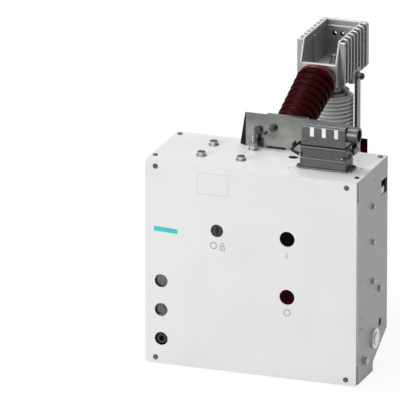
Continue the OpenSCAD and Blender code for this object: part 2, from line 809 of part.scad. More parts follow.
fork_gap = 7;
fork_t = 6;
fork_hub_r = 24;
fork_eye_r = 12;
pin_r = link_pin / 2;
pin_head = 3;
roller_lever = 38;
roller_angle = 95;
roller_gap = 7;
roller_half = 6;
roller_pin_r = 4;
stop_x = 150;
stop_len = 42;
stop_t = 12;
stop_r = 8;
phase_angle = 90 + rod_tilt + lever_swing / 2;
module shaft_levers() placed() color(zinc) {
    difference() {
        union() {
            for (side = [-1, 1])
                turned_arm(pole_x + (side > 0 ? fork_gap : -fork_gap - fork_t), shaft_y, shaft_z, phase_angle)
                    arm(lever_r, fork_hub_r, fork_eye_r, fork_t);
            bar_x(shaft_r + 4, pole_x - fork_gap, pole_x + fork_gap, shaft_y, shaft_z);
            for (side = [-1, 1])
                turned_arm(cam_x + (side > 0 ? roller_gap : -roller_gap - fork_t), shaft_y, shaft_z, roller_angle)
                    arm(roller_lever, shaft_r + 3, roller_r - 1, fork_t);
            turned_arm(stop_x - stop_t / 2, shaft_y, shaft_z, 180) arm(stop_len, stop_r, stop_r, stop_t);
            bar_x(fork_hub_r - 2, stop_x - stop_t / 2, stop_x + stop_t / 2, shaft_y, shaft_z);
        }
        bar_x(shaft_r, cam_x - 3 * fork_gap, stop_x + stop_t, shaft_y, shaft_z);
    }
    turned_arm(pole_x - fork_gap - fork_t - pin_head, shaft_y, shaft_z, phase_angle)
        translate([lever_r, 0, 0]) cylinder(r = pin_r, h = 2 * (fork_gap + fork_t + pin_head));
    turned_arm(cam_x - roller_gap - fork_t - pin_head, shaft_y, shaft_z, roller_angle)
        translate([roller_lever, 0, 0]) cylinder(r = roller_pin_r, h = 2 * (roller_gap + fork_t + pin_head));
    turned_arm(cam_x - roller_half, shaft_y, shaft_z, roller_angle)
        translate([roller_lever, 0, 0]) cylinder(r = roller_r, h = 2 * roller_half);
}

module ring_x(r_out, r_in, x0, x1, y, z) {
    difference() {
        bar_x(r_out, x0, x1, y, z);
        bar_x(r_in, x0 - 1, x1 + 1, y, z);
    }
}

bush_over = 4;
module shaft_bearings() placed() color(bare_steel) {
    x0 = middle_wall_x - middle_wall_t / 2 - bush_over;
    x1 = middle_wall_x + middle_wall_t / 2 + bush_over;
    ring_x(boss_d / 2, shaft_r + run_clear, frame_inner - bush_over, half_w + boss_out, shaft_y, shaft_z);
    ring_x(shaft_bush_r, shaft_r + run_clear, x0, x1, shaft_y, shaft_z);
    ring_x(cam_bush_r, cam_r_shaft + run_clear, x0, x1, cam_y, cam_z);
    ring_x(cam_bush_r, cam_r_shaft + run_clear, -inner_w, -frame_inner + bush_over, cam_y, cam_z);
}

spring_wire_r = 2.5;
spring_r = shaft_r + spring_wire_r + 1;
spring_turns = 7;
spring_pitch = 7;
spring_x = 62;
spring_steps = 12;
wire_sides = 6;
// The spring winds around the shaft, then its leg runs down to the bottom plate
function spring_path(i) =
    let (a = 180 + 360 * i / spring_steps)
    [spring_x + spring_pitch * i / spring_steps, shaft_y + spring_r * cos(a), shaft_z + spring_r * sin(a)];

// A round wire swept along a path, closed at both ends
module wire(path, r) {
    n = len(path);
    dir = [for (i = [0 : n - 1]) let (d = path[min(i + 1, n - 1)] - path[max(i - 1, 0)]) d / norm(d)];
    rings = [for (i = [0 : n - 1])
        let (side = cross(dir[i], [1, 0, 0.001]), u = side / norm(side), w = cross(u, dir[i]))
        for (k = [0 : wire_sides - 1]) let (a = 360 * k / wire_sides)
            path[i] + r * (cos(a) * u + sin(a) * w)];
    walls = [for (i = [0 : n - 2]) for (k = [0 : wire_sides - 1])
        let (next = (k + 1) % wire_sides)
        each [[i * wire_sides + k, i * wire_sides + next, (i + 1) * wire_sides + next],
              [i * wire_sides + k, (i + 1) * wire_sides + next, (i + 1) * wire_sides + k]]];
    polyhedron(rings, concat(
        [[for (k = [wire_sides - 1 : -1 : 0]) k]], walls,
        [[for (k = [0 : wire_sides - 1]) (n - 1) * wire_sides + k]]
    ));
}

module opening_spring() placed() color(dark_metal) {
    start = spring_path(0);
    wire(concat([[start[0], start[1], sheet], [start[0], start[1], start[2] - spring_r / 2]],
        [for (i = [0 : spring_turns * spring_steps]) spring_path(i)]), spring_wire_r);
}

buffer_r = 13;
module stop_buffer() placed() color([0.1, 0.1, 0.1]) {
    top = shaft_z - stop_r - run_clear;
    bar_z(buffer_r * 0.7, sheet, top - buffer_r, stop_x, shaft_y - stop_len);
    bar_z(buffer_r, top - buffer_r, top, stop_x, shaft_y - stop_len);
}

aux_x = 185;
aux_z = 265;
aux_w = 90;
aux_d = 44;
aux_h = 46;
module auxiliary_switch() placed() color(black_plastic) {
    block([aux_x - aux_w / 2, rear_y - aux_d, aux_z - aux_h / 2], [aux_x + aux_w / 2, rear_y, aux_z + aux_h / 2]);
    for (i = [0 : 5])
        bar_y(3, rear_y - aux_d - 5, rear_y - aux_d, aux_x - aux_w / 2 + 10 + 14 * i, aux_z);
}

coil_r = 22;
coil_len = 60;
solenoid_core_r = 6;
solenoid_plate = 5;
// A coil between two square plates on the rear frame plate, with its core
module solenoid(z) {
    bar_y(coil_r, rear_y - coil_len + solenoid_plate, rear_y - solenoid_plate, button_x, z);
    for (y = [rear_y - coil_len, rear_y - solenoid_plate])
        block([button_x - coil_r - 2, y, z - coil_r - 2], [button_x + coil_r + 2, y + solenoid_plate, z + coil_r + 2]);
    bar_y(solenoid_core_r, rear_y - coil_len - 12, rear_y + frame_t, button_x, z);
}

module close_solenoid() placed() color(copper) solenoid(on_z);

module trip_solenoid() placed() color(copper) solenoid(off_z);

// Carries its children to the rod's front eye at rest, with Y along the rod
module rod_frame() {
    translate([pole_x, shaft_y, shaft_z]) rotate([rod_tilt, 0, 0])
        translate([0, -rod_travel / 2, rod_r]) children();
}

eye_t = 12;
eye_r = 14;
neck_r = 7;
neck_len = 36;
module drive_rod() placed() color(oxblood) rod_frame() {
    difference() {
        union() {
            for (y = [0, rod_len]) bar_x(eye_r, -eye_t / 2, eye_t / 2, y, 0);
            bar_y(neck_r - 2, 0, rod_len, 0, 0);
            bar_y(neck_r + 2, neck_len - 14, neck_len, 0, 0);
            bar_y(rod_d / 2, neck_len, rod_len - neck_len, 0, 0);
            bar_y(neck_r + 2, rod_len - neck_len, rod_len - neck_len + 14, 0, 0);
        }
        for (y = [0, rod_len]) bar_x(pin_r + eye_clear, -eye_t, eye_t, y, 0);
    }
}

crank_hub_r = 14;
pivot_r = 8;
module bell_crank() placed() color(cast_alloy) {
    down_angle = -90 + rod_tilt - lever_swing / 2;
    back_angle = -lever_swing / 2;
    difference() {
        union() {
            for (side = [-1, 1]) {
                x = pole_x + (side > 0 ? fork_gap : -fork_gap - fork_t);
                turned_arm(x, pivot_y, pivot_z, 0) linear_extrude(fork_t) union() {
                    circle(crank_hub_r);
                    rotate(down_angle) arm_web(lever_r, crank_hub_r, fork_eye_r);
                    rotate(back_angle) arm_web(crank_r, crank_hub_r, fork_eye_r - 2);
                }
            }
            bar_x(crank_hub_r - 2, pole_x - crank_hub_half, pole_x + crank_hub_half, pivot_y, pivot_z);
        }
        bar_x(pivot_r + run_clear, pole_x - 60, pole_x + 60, pivot_y, pivot_z);
    }
    turned_arm(pole_x - fork_gap - fork_t - pin_head, pivot_y, pivot_z, down_angle)
        translate([lever_r, 0, 0]) cylinder(r = pin_r, h = 2 * (fork_gap + fork_t + pin_head));
    turned_arm(pole_x - fork_gap - fork_t - pin_head, pivot_y, pivot_z, back_angle)
        translate([crank_r, 0, 0]) cylinder(r = pin_r, h = 2 * (fork_gap + fork_t + pin_head));
}
crank_hub_half = 20;

module crank_pivot() placed() color(bare_steel) {
    bar_x(pivot_r, pole_x - support_half, pole_x + support_half, pivot_y, pivot_z);
    for (side = [-1, 1])
        translate([pole_x + side * (support_half + 2), pivot_y, pivot_z]) rotate([0, 90, 0])
            cylinder(r = pivot_r + 4, h = 4, center = true);
}

// Pole: bracket, insulator, head, interrupter, struts and lower support

post_y = 205;
post_z = 538;
bracket_left = -75;
bracket_front = 174;
bracket_sheet = 4;
bracket_top = 81;
seat_half = 50;
seat_t = 5;
bracket_right = 2 * pole_x - bracket_left;
bolt_inset = 15;
wing_w = 20;
wing_turn = 32;

// Carries its children to the insulator's lower end, with Z along its axis
module post_frame() {
    translate([pole_x, post_y, post_z]) rotate([post_tilt - 90, 0, 0]) children();
}

module bracket_bolt_points() {
    for (x = [bracket_left + bolt_inset, bracket_right - bolt_inset])
        translate([x, (bracket_front + box_d) / 2, box_h]) children();
}

module support_bracket() placed() color(zinc) {
    difference() {
        union() {
            block([bracket_left, bracket_front, box_h],
                  [bracket_right, bracket_front + bracket_sheet, box_h + bracket_top]);
            block([bracket_left, bracket_front, box_h], [bracket_right, box_d, box_h + bracket_sheet]);
            block([pole_x - seat_half, bracket_front, box_h + bracket_top - bracket_sheet],
                  [pole_x + seat_half, bracket_front + 3 * bracket_sheet, box_h + bracket_top]);
            intersection() {
                post_frame() translate([-seat_half, -seat_half, -seat_t]) cube([2 * seat_half, 2 * seat_half, seat_t]);
                block([pole_x - seat_half, bracket_front, box_h],
                      [pole_x + seat_half, box_d + 2 * seat_t, box_h + bracket_top]);
            }
            translate([bracket_left, bracket_front, box_h]) rotate([0, 0, -wing_turn]) rotate([90, 0, 0])
                translate([0, 0, -bracket_sheet]) linear_extrude(bracket_sheet)
                    polygon([[0.5, 0], [0.5, bracket_top], [-2, bracket_top], [-wing_w, 0]]);
        }
        bracket_bolt_points() cylinder(d = plate_hole, h = 40, center = true);
        for (p = [[-43, 540], [-6, 549]]) bar_y(plate_hole / 2, bracket_front - 1, bracket_front + 6, p[0], p[1]);
        post_frame() cylinder(d = top_bolt + 1, h = 4 * seat_t, center = true);
    }
}

support_flange_r = 78;
support_flange_t = 12;
module support_bolt_points() {
    for (a = [45 : 90 : 315])
        translate([pole_x + support_ring_r * cos(a), box_d, support_z + support_ring_r * sin(a)])
            rotate([-90, 0, 0]) children();
}
support_ring_r = 65;

module pole_bolts() placed() color(zinc) {
    bracket_bolt_points() translate([0, 0, bracket_sheet]) hex_bolt(side_bolt, 4 * bracket_sheet);
    support_bolt_points() translate([0, 0, support_flange_t])
        hex_bolt(strut_bolt, support_flange_t + box_d - rear_y);
    post_frame() translate([0, 0, -seat_t]) rotate([180, 0, 0]) hex_bolt(top_bolt, seat_t + bolt_inset);
}

// Outline of one shed, from its foot up to the next
function shed_outline(pitch, core, tip) = [
    [core, 0], [core + 0.35 * (tip - core), 0.10 * pitch], [tip - 2, 0.26 * pitch], [tip, 0.38 * pitch],
    [tip, 0.50 * pitch], [tip - 2, 0.62 * pitch], [core + 0.35 * (tip - core), 0.80 * pitch]
];

// A ribbed insulator standing on its lower end, with plain ends
module ribbed_post(length, core, tip, count, end_len, bolt_r, bolt_len) {
    pitch = (length - 2 * end_len) / count;
    difference() {
        rotate_extrude($fn = 64) polygon(concat(
            [[0, 0], [core, 0], [core, end_len]],
            [for (i = [0 : count - 1]) for (p = shed_outline(pitch, core, tip)) [p[0], end_len + i * pitch + p[1]]],
            [[core, length - end_len], [core, length], [0, length]]
        ));
        translate([0, 0, -1]) cylinder(r = bolt_r, h = bolt_len + 1);
    }
}

post_end = 8;
module upper_insulator() placed() color(oxblood)
    post_frame() ribbed_post(post_len, core_r, shed_r, sheds, post_end, top_bolt / 2, bolt_inset);

head_front = 411;
lip_y = 393;
lip_z = 645;
head_low = 588;
head_back = 579;
floor_z = 612;
head_foot_y = 389;
fin_low = 590;
fin_start = 417;
fin_round = 10;
head_half = head_in_w / 2 + head_wall;
ledge_z = 675;
ledge_t = 4;
terminal_z = 657;
pad_r = 45;
pad_low = 575;
strut_eye_z = 588;
strut_foot_z = 392;
boss_r = 48;
boss_len = 34;

// A fin seen from the front, from the wall out to its rounded corner
module fin_shape() {
    polygon(concat(
        [[0, fin_low], [fin_out - 4, fin_low], [fin_out, fin_low + 6]],
        [for (a = [0 : 15 : 90])
            [fin_out - fin_round + fin_round * cos(a), head_top - fin_round + fin_round * sin(a)]],
        [[0, head_top]]
    ));
}

module upper_pole_head() placed() color(cast_alloy) {
    difference() {
        union() {
            difference() {
                profile_x([[head_front, head_top], [lip_y, lip_z], [head_foot_y, head_low],
                    [head_back, head_low], [head_back, head_top]], pole_x - head_half, pole_x + head_half);
                profile_x([[head_foot_y - 10, head_top + 1], [head_foot_y - 10, lip_z], [lip_y + 11, lip_z],
                    [lip_y + 8, floor_z], [head_back - 10 - ledge_t, floor_z], [head_back - 10 - ledge_t, ledge_z],
                    [head_back - 10, ledge_z], [head_back - 10, head_top + 1]],
                    pole_x - head_in_w / 2, pole_x + head_in_w / 2);
            }
            for (side = [0, 1]) translate([pole_x, 0, 0]) mirror([side, 0, 0]) {
                for (i = [0 : fins - 1])
                    translate([head_half, fin_start + i * fin_pitch + fin_t, 0]) rotate([90, 0, 0])
                        linear_extrude(fin_t) fin_shape();
                profile_x([[head_front, head_top - 3], [lip_y, lip_z], [head_foot_y, fin_low + 6],
                    [head_foot_y + 9, fin_low + 6], [lip_y + 9, lip_z], [head_front + 9, head_top - 3]],
                    head_half, head_half + fin_out);
                block([head_half - 1, pole_y - 22, pad_low], [strut_x - strut_t / 2, pole_y + 26, head_low + 16]);
            }
            block([pole_x - head_in_w / 2, 470, floor_z], [pole_x - head_in_w / 2 + 4, 478, head_top - 12]);
            post_frame() translate([0, 0, post_len]) cylinder(r = boss_r, h = boss_len);
            bar_z(pad_r, pad_low, head_low + 1, pole_x, pole_y);
        }
        for (i = [-1 : 1])
            bar_y(terminal_hole / 2, head_back - 20, head_back + 1, pole_x + i * terminal_pitch, terminal_z);
        post_frame() translate([0, 0, -1]) cylinder(r = shed_r + 1, h = post_len + 1);
        for (side = [-1, 1]) translate([pole_x + side * strut_x, 0, 0]) strut_shape(strut_t + 0.01, 1.5);
        block([pole_x - head_in_w / 2, lip_y + 11, floor_z], [pole_x + head_in_w / 2, head_back - 20, head_top + 1]);
        bar_x(strut_bolt / 2, pole_x - 100, pole_x - head_half + 4, strut_y, strut_eye_z);
        bar_x(strut_bolt / 2, pole_x + head_half - 4, pole_x + 100, strut_y, strut_eye_z);
    }
    block([pole_x - head_in_w / 2, 470, floor_z], [pole_x - head_in_w / 2 + 4, 478, head_top - 12]);
}

strut_y = 497;
// A flat bar with round ends, standing across X; extra widens it all round
module strut_shape(t, extra) {
    r = strut_w / 2 + extra;
    translate([-t / 2, strut_y, 0]) rotate([90, 0, 90]) linear_extrude(t) union() {
        translate([0, strut_eye_z]) circle(r);
        translate([0, strut_foot_z]) circle(r);
        translate([-r, strut_foot_z]) square([2 * r, strut_eye_z - strut_foot_z]);
    }
}

module struts() placed() color([0.50, 0.51, 0.52]) {
    for (side = [-1, 1]) difference() {
        translate([pole_x + side * strut_x, 0, 0]) strut_shape(strut_t, 0);
        for (z = [strut_eye_z, strut_foot_z]) bar_x(strut_bolt / 2, pole_x - 100, pole_x + 100, strut_y, z);
    }
}

module strut_bolts() placed() color(zinc) {
    for (side = [-1, 1]) for (z = [strut_eye_z, strut_foot_z])
        translate([pole_x + side * (strut_x + strut_t / 2), strut_y, z]) rotate([0, 90 * side, 0])
            hex_bolt(strut_bolt, strut_t + 8);
}

tube_low = tube_top - tube_ribs * tube_pitch - 4;
tube_core = tube_r - 5;
module interrupter_body() placed() color(pale_ceramic) {
    translate([pole_x, pole_y, 0]) rotate_extrude($fn = 64) polygon(concat(
        [[tube_bore_r, tube_low], [tube_core, tube_low], [tube_core, tube_low + 4]],
        [for (i = [0 : tube_ribs - 1]) for (p = [[tube_core, 0], [tube_r - 1, 1.6], [tube_r, 3.2],
            [tube_r, 5], [tube_r - 1, 6.6], [tube_core, 8.4]]) [p[0], tube_low + 4 + i * tube_pitch + p[1]]],
        [[tube_core, tube_top], [tube_bore_r, tube_top]]
    ));
}

cap_r = 42;
cap_t = 8;
module interrupter_caps() placed() color(dark_metal) {
    difference() {
        union() {
            bar_z(cap_r, tube_top, tube_top + cap_t, pole_x, pole_y);
            bar_z(cap_r - 10, tube_top + cap_t, pad_low, pole_x, pole_y);
        }
        bar_z(stem_r, tube_top - 1, pad_low + 1, pole_x, pole_y);
    }
    difference() {
        bar_z(cap_r, tube_low - cap_t, tube_low, pole_x, pole_y);
        bar_z(stem_r + run_clear, tube_low - cap_t - 1, tube_low + 1, pole_x, pole_y);
    }
}

contact_t = 12;
fixed_face = 488;
module fixed_contact() placed() color(copper) {
    bar_z(stem_r, fixed_face + contact_t, pad_low, pole_x, pole_y);
    bar_z(contact_r, fixed_face, fixed_face + contact_t, pole_x, pole_y);
}

eye_z = pivot_z - crank_r * sin(lever_swing / 2);
clamp_r = 18;
clamp_z = 352;
clamp_t = 10;
tongue_top = eye_z + 22;
bellows_seat = tube_low + 34;
module moving_contact() placed() color(copper) {
    face = fixed_face - contact_stroke;
    bar_z(contact_r, face - contact_t, face, pole_x, pole_y);
    bar_z(stem_r, tongue_top, face - contact_t, pole_x, pole_y);
    bar_z(stem_r + 8, bellows_seat, bellows_seat + 3, pole_x, pole_y);
    bar_z(clamp_r, clamp_z, clamp_z + clamp_t, pole_x, pole_y);
    difference() {
        union() {
            block([pole_x - eye_t / 2, pole_y - stem_r, eye_z], [pole_x + eye_t / 2, pole_y + stem_r, tongue_top]);
            bar_x(stem_r, pole_x - eye_t / 2, pole_x + eye_t / 2, pole_y, eye_z);
        }
        bar_x(pin_r + eye_clear, pole_x - eye_t, pole_x + eye_t, pole_y, eye_z);
    }
}

bellows_folds = 6;
module bellows() placed() color(bare_steel) {
    pitch = (bellows_seat - tube_low) / bellows_folds;
    inner = stem_r + 1;
    translate([pole_x, pole_y, tube_low]) rotate_extrude($fn = 32) polygon(concat(
        [for (i = [0 : bellows_folds - 1]) each [[inner + 1, i * pitch], [inner + 7, (i + 0.5) * pitch]]],
        [[inner + 1, bellows_folds * pitch], [inner, bellows_folds * pitch]],
        [for (i = [bellows_folds - 1 : -1 : 0]) each [[inner + 6, (i + 0.5) * pitch], [inner, i * pitch]]]
    ));
}

terminal_top = tube_low - cap_t;
terminal_t = 24;
terminal_reach = 595;
module flexible_connector() placed() color(copper) {
    y0 = pole_y + clamp_r;
    low = clamp_z + 1;
    high = terminal_top - terminal_t;
    profile_x([[y0, low], [y0 + 16, low], [y0 + 22, low + 6], [y0 + 22, high], [y0 + 14, high],
        [y0 + 14, low + 10], [y0 + 11, low + 8], [y0, low + 8]], pole_x - 12, pole_x + 12);
}

support_half = strut_x + strut_t / 2;
support_front = 425;
support_back = 560;
support_low = 300;
support_top = 413;
support_wall = 12;
cheek_in = 45;
support_core = 30;
support_tip = 44;
support_sheds = 8;
module lower_support() placed() color(oxblood) {
    difference() {
        union() {
            block([pole_x - support_half, support_front, support_low], [pole_x + support_half, support_back, support_top]);
            bar_y(support_flange_r, box_d, box_d + support_flange_t, pole_x, support_z);
            translate([pole_x, box_d + support_flange_t, support_z]) rotate([-90, 0, 0])
                ribbed_post(support_front - box_d - support_flange_t, support_core, support_tip, support_sheds,
                            post_end, 0.1, 0);
        }
        block([pole_x - cheek_in, support_front + support_wall, support_low - 1],
              [pole_x + cheek_in, support_back - support_wall, support_top + 1]);
        for (side = [-1, 1]) translate([pole_x + side * (strut_x + 0.5), 0, 0]) strut_shape(strut_t + 1, 0);
        bar_x(strut_bolt / 2, pole_x - 100, pole_x + 100, strut_y, strut_foot_z);
        bar_x(pivot_r, pole_x - 100, pole_x + 100, pivot_y, pivot_z);
        support_bolt_points() cylinder(d = strut_bolt, h = 40, center = true);
        block([pole_x - terminal_half, support_back - support_wall - 1, terminal_top - terminal_t],
              [pole_x + terminal_half, support_back + 1, support_top + 1]);
    }
}

terminal_half = 30;
module lower_terminal() placed() color(cast_alloy) {
    low = terminal_top - terminal_t;
    difference() {
        union() {
            block([pole_x - cheek_in, support_front + support_wall, low],
                  [pole_x + cheek_in, support_back - support_wall, terminal_top]);
            block([pole_x - terminal_half, support_back - support_wall, low],
                  [pole_x + terminal_half, terminal_reach, terminal_top]);
        }
        bar_z(stem_r + 5, low - 1, terminal_top + 1, pole_x, pole_y);
        for (side = [-1, 1])
            bar_z(terminal_hole / 2, low - 1, terminal_top + 1, pole_x + side * terminal_pitch / 2 * 1.5,
                  terminal_reach - 14);
    }
}

// Plug connection on the top

plug_flange = 4;
plug_flange_t = 6;
plug_step = 27;
plug_step_in = 1.5;
hood_in = 4;
hood_edge = 16;
seal_gap = 0.6;
gland_out = 26;
gland_z = 85;
pivot_in = 13;
pivot_up = 34;
peg_r = 4;
peg_up = 64;
lever_t = 3;
lever_gap = 0.5;
hook_r = 9;
bar_out = 8;
bar_t = 5;
bar_up = 50;

module plug_base() placed() color(grey_casting) translate([plug_x, plug_y, box_h]) {
    l = plug_l / 2;
    w = plug_w / 2;
    block([-l - plug_flange, -w - plug_flange, 0], [l + plug_flange, w + plug_flange, plug_flange_t]);
    block([-l, -w, plug_flange_t], [l, w, plug_step]);
    block([-l + plug_step_in, -w + plug_step_in, plug_step], [l - plug_step_in, w - plug_step_in, plug_base_h]);
    for (side = [-1, 1]) bar_y(peg_r, -w - 6, w + 6, side * (l - pivot_in), pivot_up);
}

module plug_hood() placed() color(grey_casting) translate([plug_x, plug_y, box_h]) {
    l = plug_l / 2 - hood_in;
    w = plug_w / 2 - hood_in + 1;
    low = plug_base_h + seal_gap;
    high = plug_base_h + plug_hood_h;
    difference() {
        union() {
            profile_x([[-w, low], [w, low], [w, high - hood_edge], [w - 8, high], [-w + 8, high],
                [-w, high - hood_edge]], -l, l);
            bar_x(gland_r, l, l + gland_out, 0, gland_z);
            for (side = [-1, 1]) bar_y(peg_r, -w - 9, w + 9, side * (plug_l / 2 - pivot_in), peg_up);
        }
        bar_x(gland_bore_r, l + gland_out - 20, l + gland_out + 1, 0, gland_z);
    }
}

// One locking lever, drawn for the right end: two hooked side arms and a handle bar
module plug_lever() {
    x = plug_l / 2 - pivot_in;
    y_in = plug_w / 2 + plug_step_in;
    handle_x = plug_l / 2 + bar_out;
    for (side = [-1, 1]) {
        y0 = side > 0 ? y_in : -y_in - lever_t;
        difference() {
            translate([x, y0 + lever_t, pivot_up]) rotate([90, 0, 0]) linear_extrude(lever_t) difference() {
                union() {
                    circle(hook_r);
                    translate([0, peg_up - pivot_up]) circle(hook_r);
                    translate([-hook_r + 2, 0]) square([2 * hook_r - 2, peg_up - pivot_up]);
                    polygon([[0, -hook_r], [handle_x - x + bar_t, bar_up - pivot_up - 8],
                        [handle_x - x + bar_t, bar_up - pivot_up + 8], [0, peg_up - pivot_up]]);
                }
                translate([0, peg_up - pivot_up]) circle(peg_r + 0.5);
                translate([-2 * hook_r, peg_up - pivot_up - peg_r - 4]) square([2 * hook_r, 2 * peg_r + 4.5]);
                circle(peg_r + run_clear);
            }
        }
    }
    block([handle_x, -y_in - lever_t, bar_up - 8], [handle_x + bar_t, y_in + lever_t, bar_up + 8]);
}

module plug_lever_right() placed() color(dark_metal) translate([plug_x, plug_y, box_h]) plug_lever();

module plug_lever_left() placed() color(dark_metal)
    translate([plug_x, plug_y, box_h]) mirror([1, 0, 0]) plug_lever();

front_cover();
left_side_plate();
right_side_plate();
top_cover();
back_plate();
bottom_plate();
cover_screws();
side_bolts();
top_bolts();
earth_terminal();
left_frame_wall();
middle_frame_wall();
right_frame_wall();
rear_frame_plate();
on_button();
off_button();
button_guides();
lock_housing();
lock_cylinder();
position_indicator();
charge_indicator();
indicator_bracket();
crank_shaft();
charging_worm();
crank_guide();
worm_wheel();
camshaft();
closing_spring();
spring_barrel();
motor_gearbox();
charging_motor();
main_shaft();
shaft_levers();
shaft_bearings();
opening_spring();
stop_buffer();
auxiliary_switch();
close_solenoid();
trip_solenoid();
drive_rod();
bell_crank();
crank_pivot();
support_bracket();
pole_bolts();
upper_insulator();
upper_pole_head();
interrupter_body();
interrupter_caps();
fixed_contact();
moving_contact();
bellows();
flexible_connector();
struts();
strut_bolts();
lower_support();
lower_terminal();
plug_base();
plug_hood();
plug_lever_left();
plug_lever_right();
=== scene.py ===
"""Vacuum circuit breaker: camera, light, finishes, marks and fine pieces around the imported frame."""

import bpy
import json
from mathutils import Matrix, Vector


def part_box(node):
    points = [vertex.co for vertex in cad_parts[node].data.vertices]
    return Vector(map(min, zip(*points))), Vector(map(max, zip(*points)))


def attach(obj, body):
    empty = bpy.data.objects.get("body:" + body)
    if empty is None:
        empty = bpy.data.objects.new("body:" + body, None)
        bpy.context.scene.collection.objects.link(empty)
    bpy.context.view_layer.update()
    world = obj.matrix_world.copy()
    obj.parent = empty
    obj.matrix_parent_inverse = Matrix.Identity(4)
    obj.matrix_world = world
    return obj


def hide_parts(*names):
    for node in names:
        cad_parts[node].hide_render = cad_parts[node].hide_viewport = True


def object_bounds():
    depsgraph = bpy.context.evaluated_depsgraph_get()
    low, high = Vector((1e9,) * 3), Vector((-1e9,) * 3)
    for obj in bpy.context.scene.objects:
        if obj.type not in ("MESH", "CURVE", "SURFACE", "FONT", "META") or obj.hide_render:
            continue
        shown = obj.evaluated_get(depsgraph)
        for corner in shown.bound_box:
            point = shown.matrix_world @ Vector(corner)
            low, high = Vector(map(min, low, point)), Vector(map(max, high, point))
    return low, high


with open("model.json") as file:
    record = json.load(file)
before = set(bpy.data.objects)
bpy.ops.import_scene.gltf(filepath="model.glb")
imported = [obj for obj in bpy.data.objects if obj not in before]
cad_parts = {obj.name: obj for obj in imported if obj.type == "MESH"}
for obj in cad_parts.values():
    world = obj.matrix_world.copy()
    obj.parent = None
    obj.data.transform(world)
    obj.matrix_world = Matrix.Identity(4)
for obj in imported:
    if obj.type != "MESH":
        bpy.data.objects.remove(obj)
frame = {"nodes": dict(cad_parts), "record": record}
CAD_BOX = [list(corner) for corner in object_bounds()]

import json
import math

import bmesh
import bpy
from mathutils import Vector

MM = 0.001

# The front cover's lowest corner fixes where depth 0 and height 0 lie
COVER_LOW, COVER_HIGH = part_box("front_cover")
FRONT_Y = COVER_LOW[1]
MIDDLE_X = (COVER_LOW[0] + COVER_HIGH[0]) / 2


def at(x, y, z):
    """A point given in millimetres from the middle of the front's lower edge."""
    return Vector((MIDDLE_X + x * MM, FRONT_Y + y * MM, COVER_LOW[2] + z * MM))


bpy.context.scene.view_settings.view_transform = "Standard"


def aim(thing, target, azimuth, elevation, distance):
    """Puts a camera or lamp at a distance from a target, turned towards it; angles in degrees."""
    bpy.context.scene.collection.objects.link(thing)
    a, e = math.radians(azimuth), math.radians(elevation)
    back = Vector((math.sin(a) * math.cos(e), -math.cos(a) * math.cos(e), math.sin(e)))
    thing.location = target + back * distance
    thing.rotation_mode = "QUATERNION"
    thing.rotation_quaternion = (-back).to_track_quat("-Z", "Y")


# Camera: a long lens from far away, its sizes in millimetres

AZIMUTH = 20.1
ELEVATION = 18.6
# Width of what the picture shows at the breaker
PICTURE_WIDTH = 932
LENS = 1000
SENSOR = 36
# The point of the breaker that lies in the middle of the picture
PICTURE_MIDDLE = at(-164.5, 109, 373.9)
# What the camera sees starts and ends at these shares of its distance
CLIP_NEAR, CLIP_FAR = 0.5, 2


def make_camera():
    data = bpy.data.cameras.new("camera")
    data.lens = LENS
    data.sensor_width = SENSOR
    distance = PICTURE_WIDTH * MM * LENS / SENSOR
    data.clip_start = distance * CLIP_NEAR
    data.clip_end = distance * CLIP_FAR
    camera = bpy.data.objects.new("camera", data)
    aim(camera, PICTURE_MIDDLE, AZIMUTH, ELEVATION, distance)
    bpy.context.scene.camera = camera


# Light, floor and background

# Distance of the lamps in metres, and the point they shine at
LAMP_DISTANCE = 8.0
LAMP_TARGET = at(0, 200, 350)
# Each lamp: azimuth and elevation it shines from, its power in watts and its size in metres
LAMPS = {
    "top_lamp": (-100, 68, 318, 3.5),
    "front_lamp": (-22, 18, 462, 4.2),
    "side_lamp": (78, 14, 52, 2.6),
    "back_lamp": (185, 58, 115, 3.8),
}
# Strength of the even light from all sides
WORLD_LEVEL = 0.20


def make_lamps():
    for name, (azimuth, elevation, power, size) in LAMPS.items():
        data = bpy.data.lights.new(name, "AREA")
        data.shape = "DISK"
        data.energy = power
        data.size = size
        lamp = bpy.data.objects.new(name, data)
        aim(lamp, LAMP_TARGET, azimuth, elevation, LAMP_DISTANCE)


def seen_directly(nodes, links):
    """A factor of 1 for rays that show a background: the camera's, mirrored ones and ones through glass."""
    path = nodes.new("ShaderNodeLightPath")
    seen = path.outputs["Is Camera Ray"]
    for kind in ("Is Glossy Ray", "Is Transmission Ray"):
        either = nodes.new("ShaderNodeMath")
        either.operation = "MAXIMUM"
        links.new(seen, either.inputs[0])
        links.new(path.outputs[kind], either.inputs[1])
        seen = either.outputs[0]
    return seen


def make_world():
    """White where it is seen, dim where it only lights."""
    world = bpy.data.worlds.new("world")
    bpy.context.scene.world = world
    world.use_nodes = True
    nodes, links = world.node_tree.nodes, world.node_tree.links
    nodes.clear()
    out = nodes.new("ShaderNodeOutputWorld")
    light = nodes.new("ShaderNodeBackground")
    light.inputs["Strength"].default_value = WORLD_LEVEL
    white = nodes.new("ShaderNodeBackground")
    mix = nodes.new("ShaderNodeMixShader")
    links.new(seen_directly(nodes, links), mix.inputs["Fac"])
    links.new(light.outputs[0], mix.inputs[1])
    links.new(white.outputs[0], mix.inputs[2])
    links.new(mix.outputs[0], out.inputs["Surface"])


# Half the floor's side and its distance under the part, in metres
FLOOR_HALF = 4.0
FLOOR_GAP = 0.001
# Grey of the floor under the lamps, how much of its shadow is seen, and the white light it adds
FLOOR_GREY = 0.5
FLOOR_SHADOW = 0.2
FLOOR_GLOW = 1.14


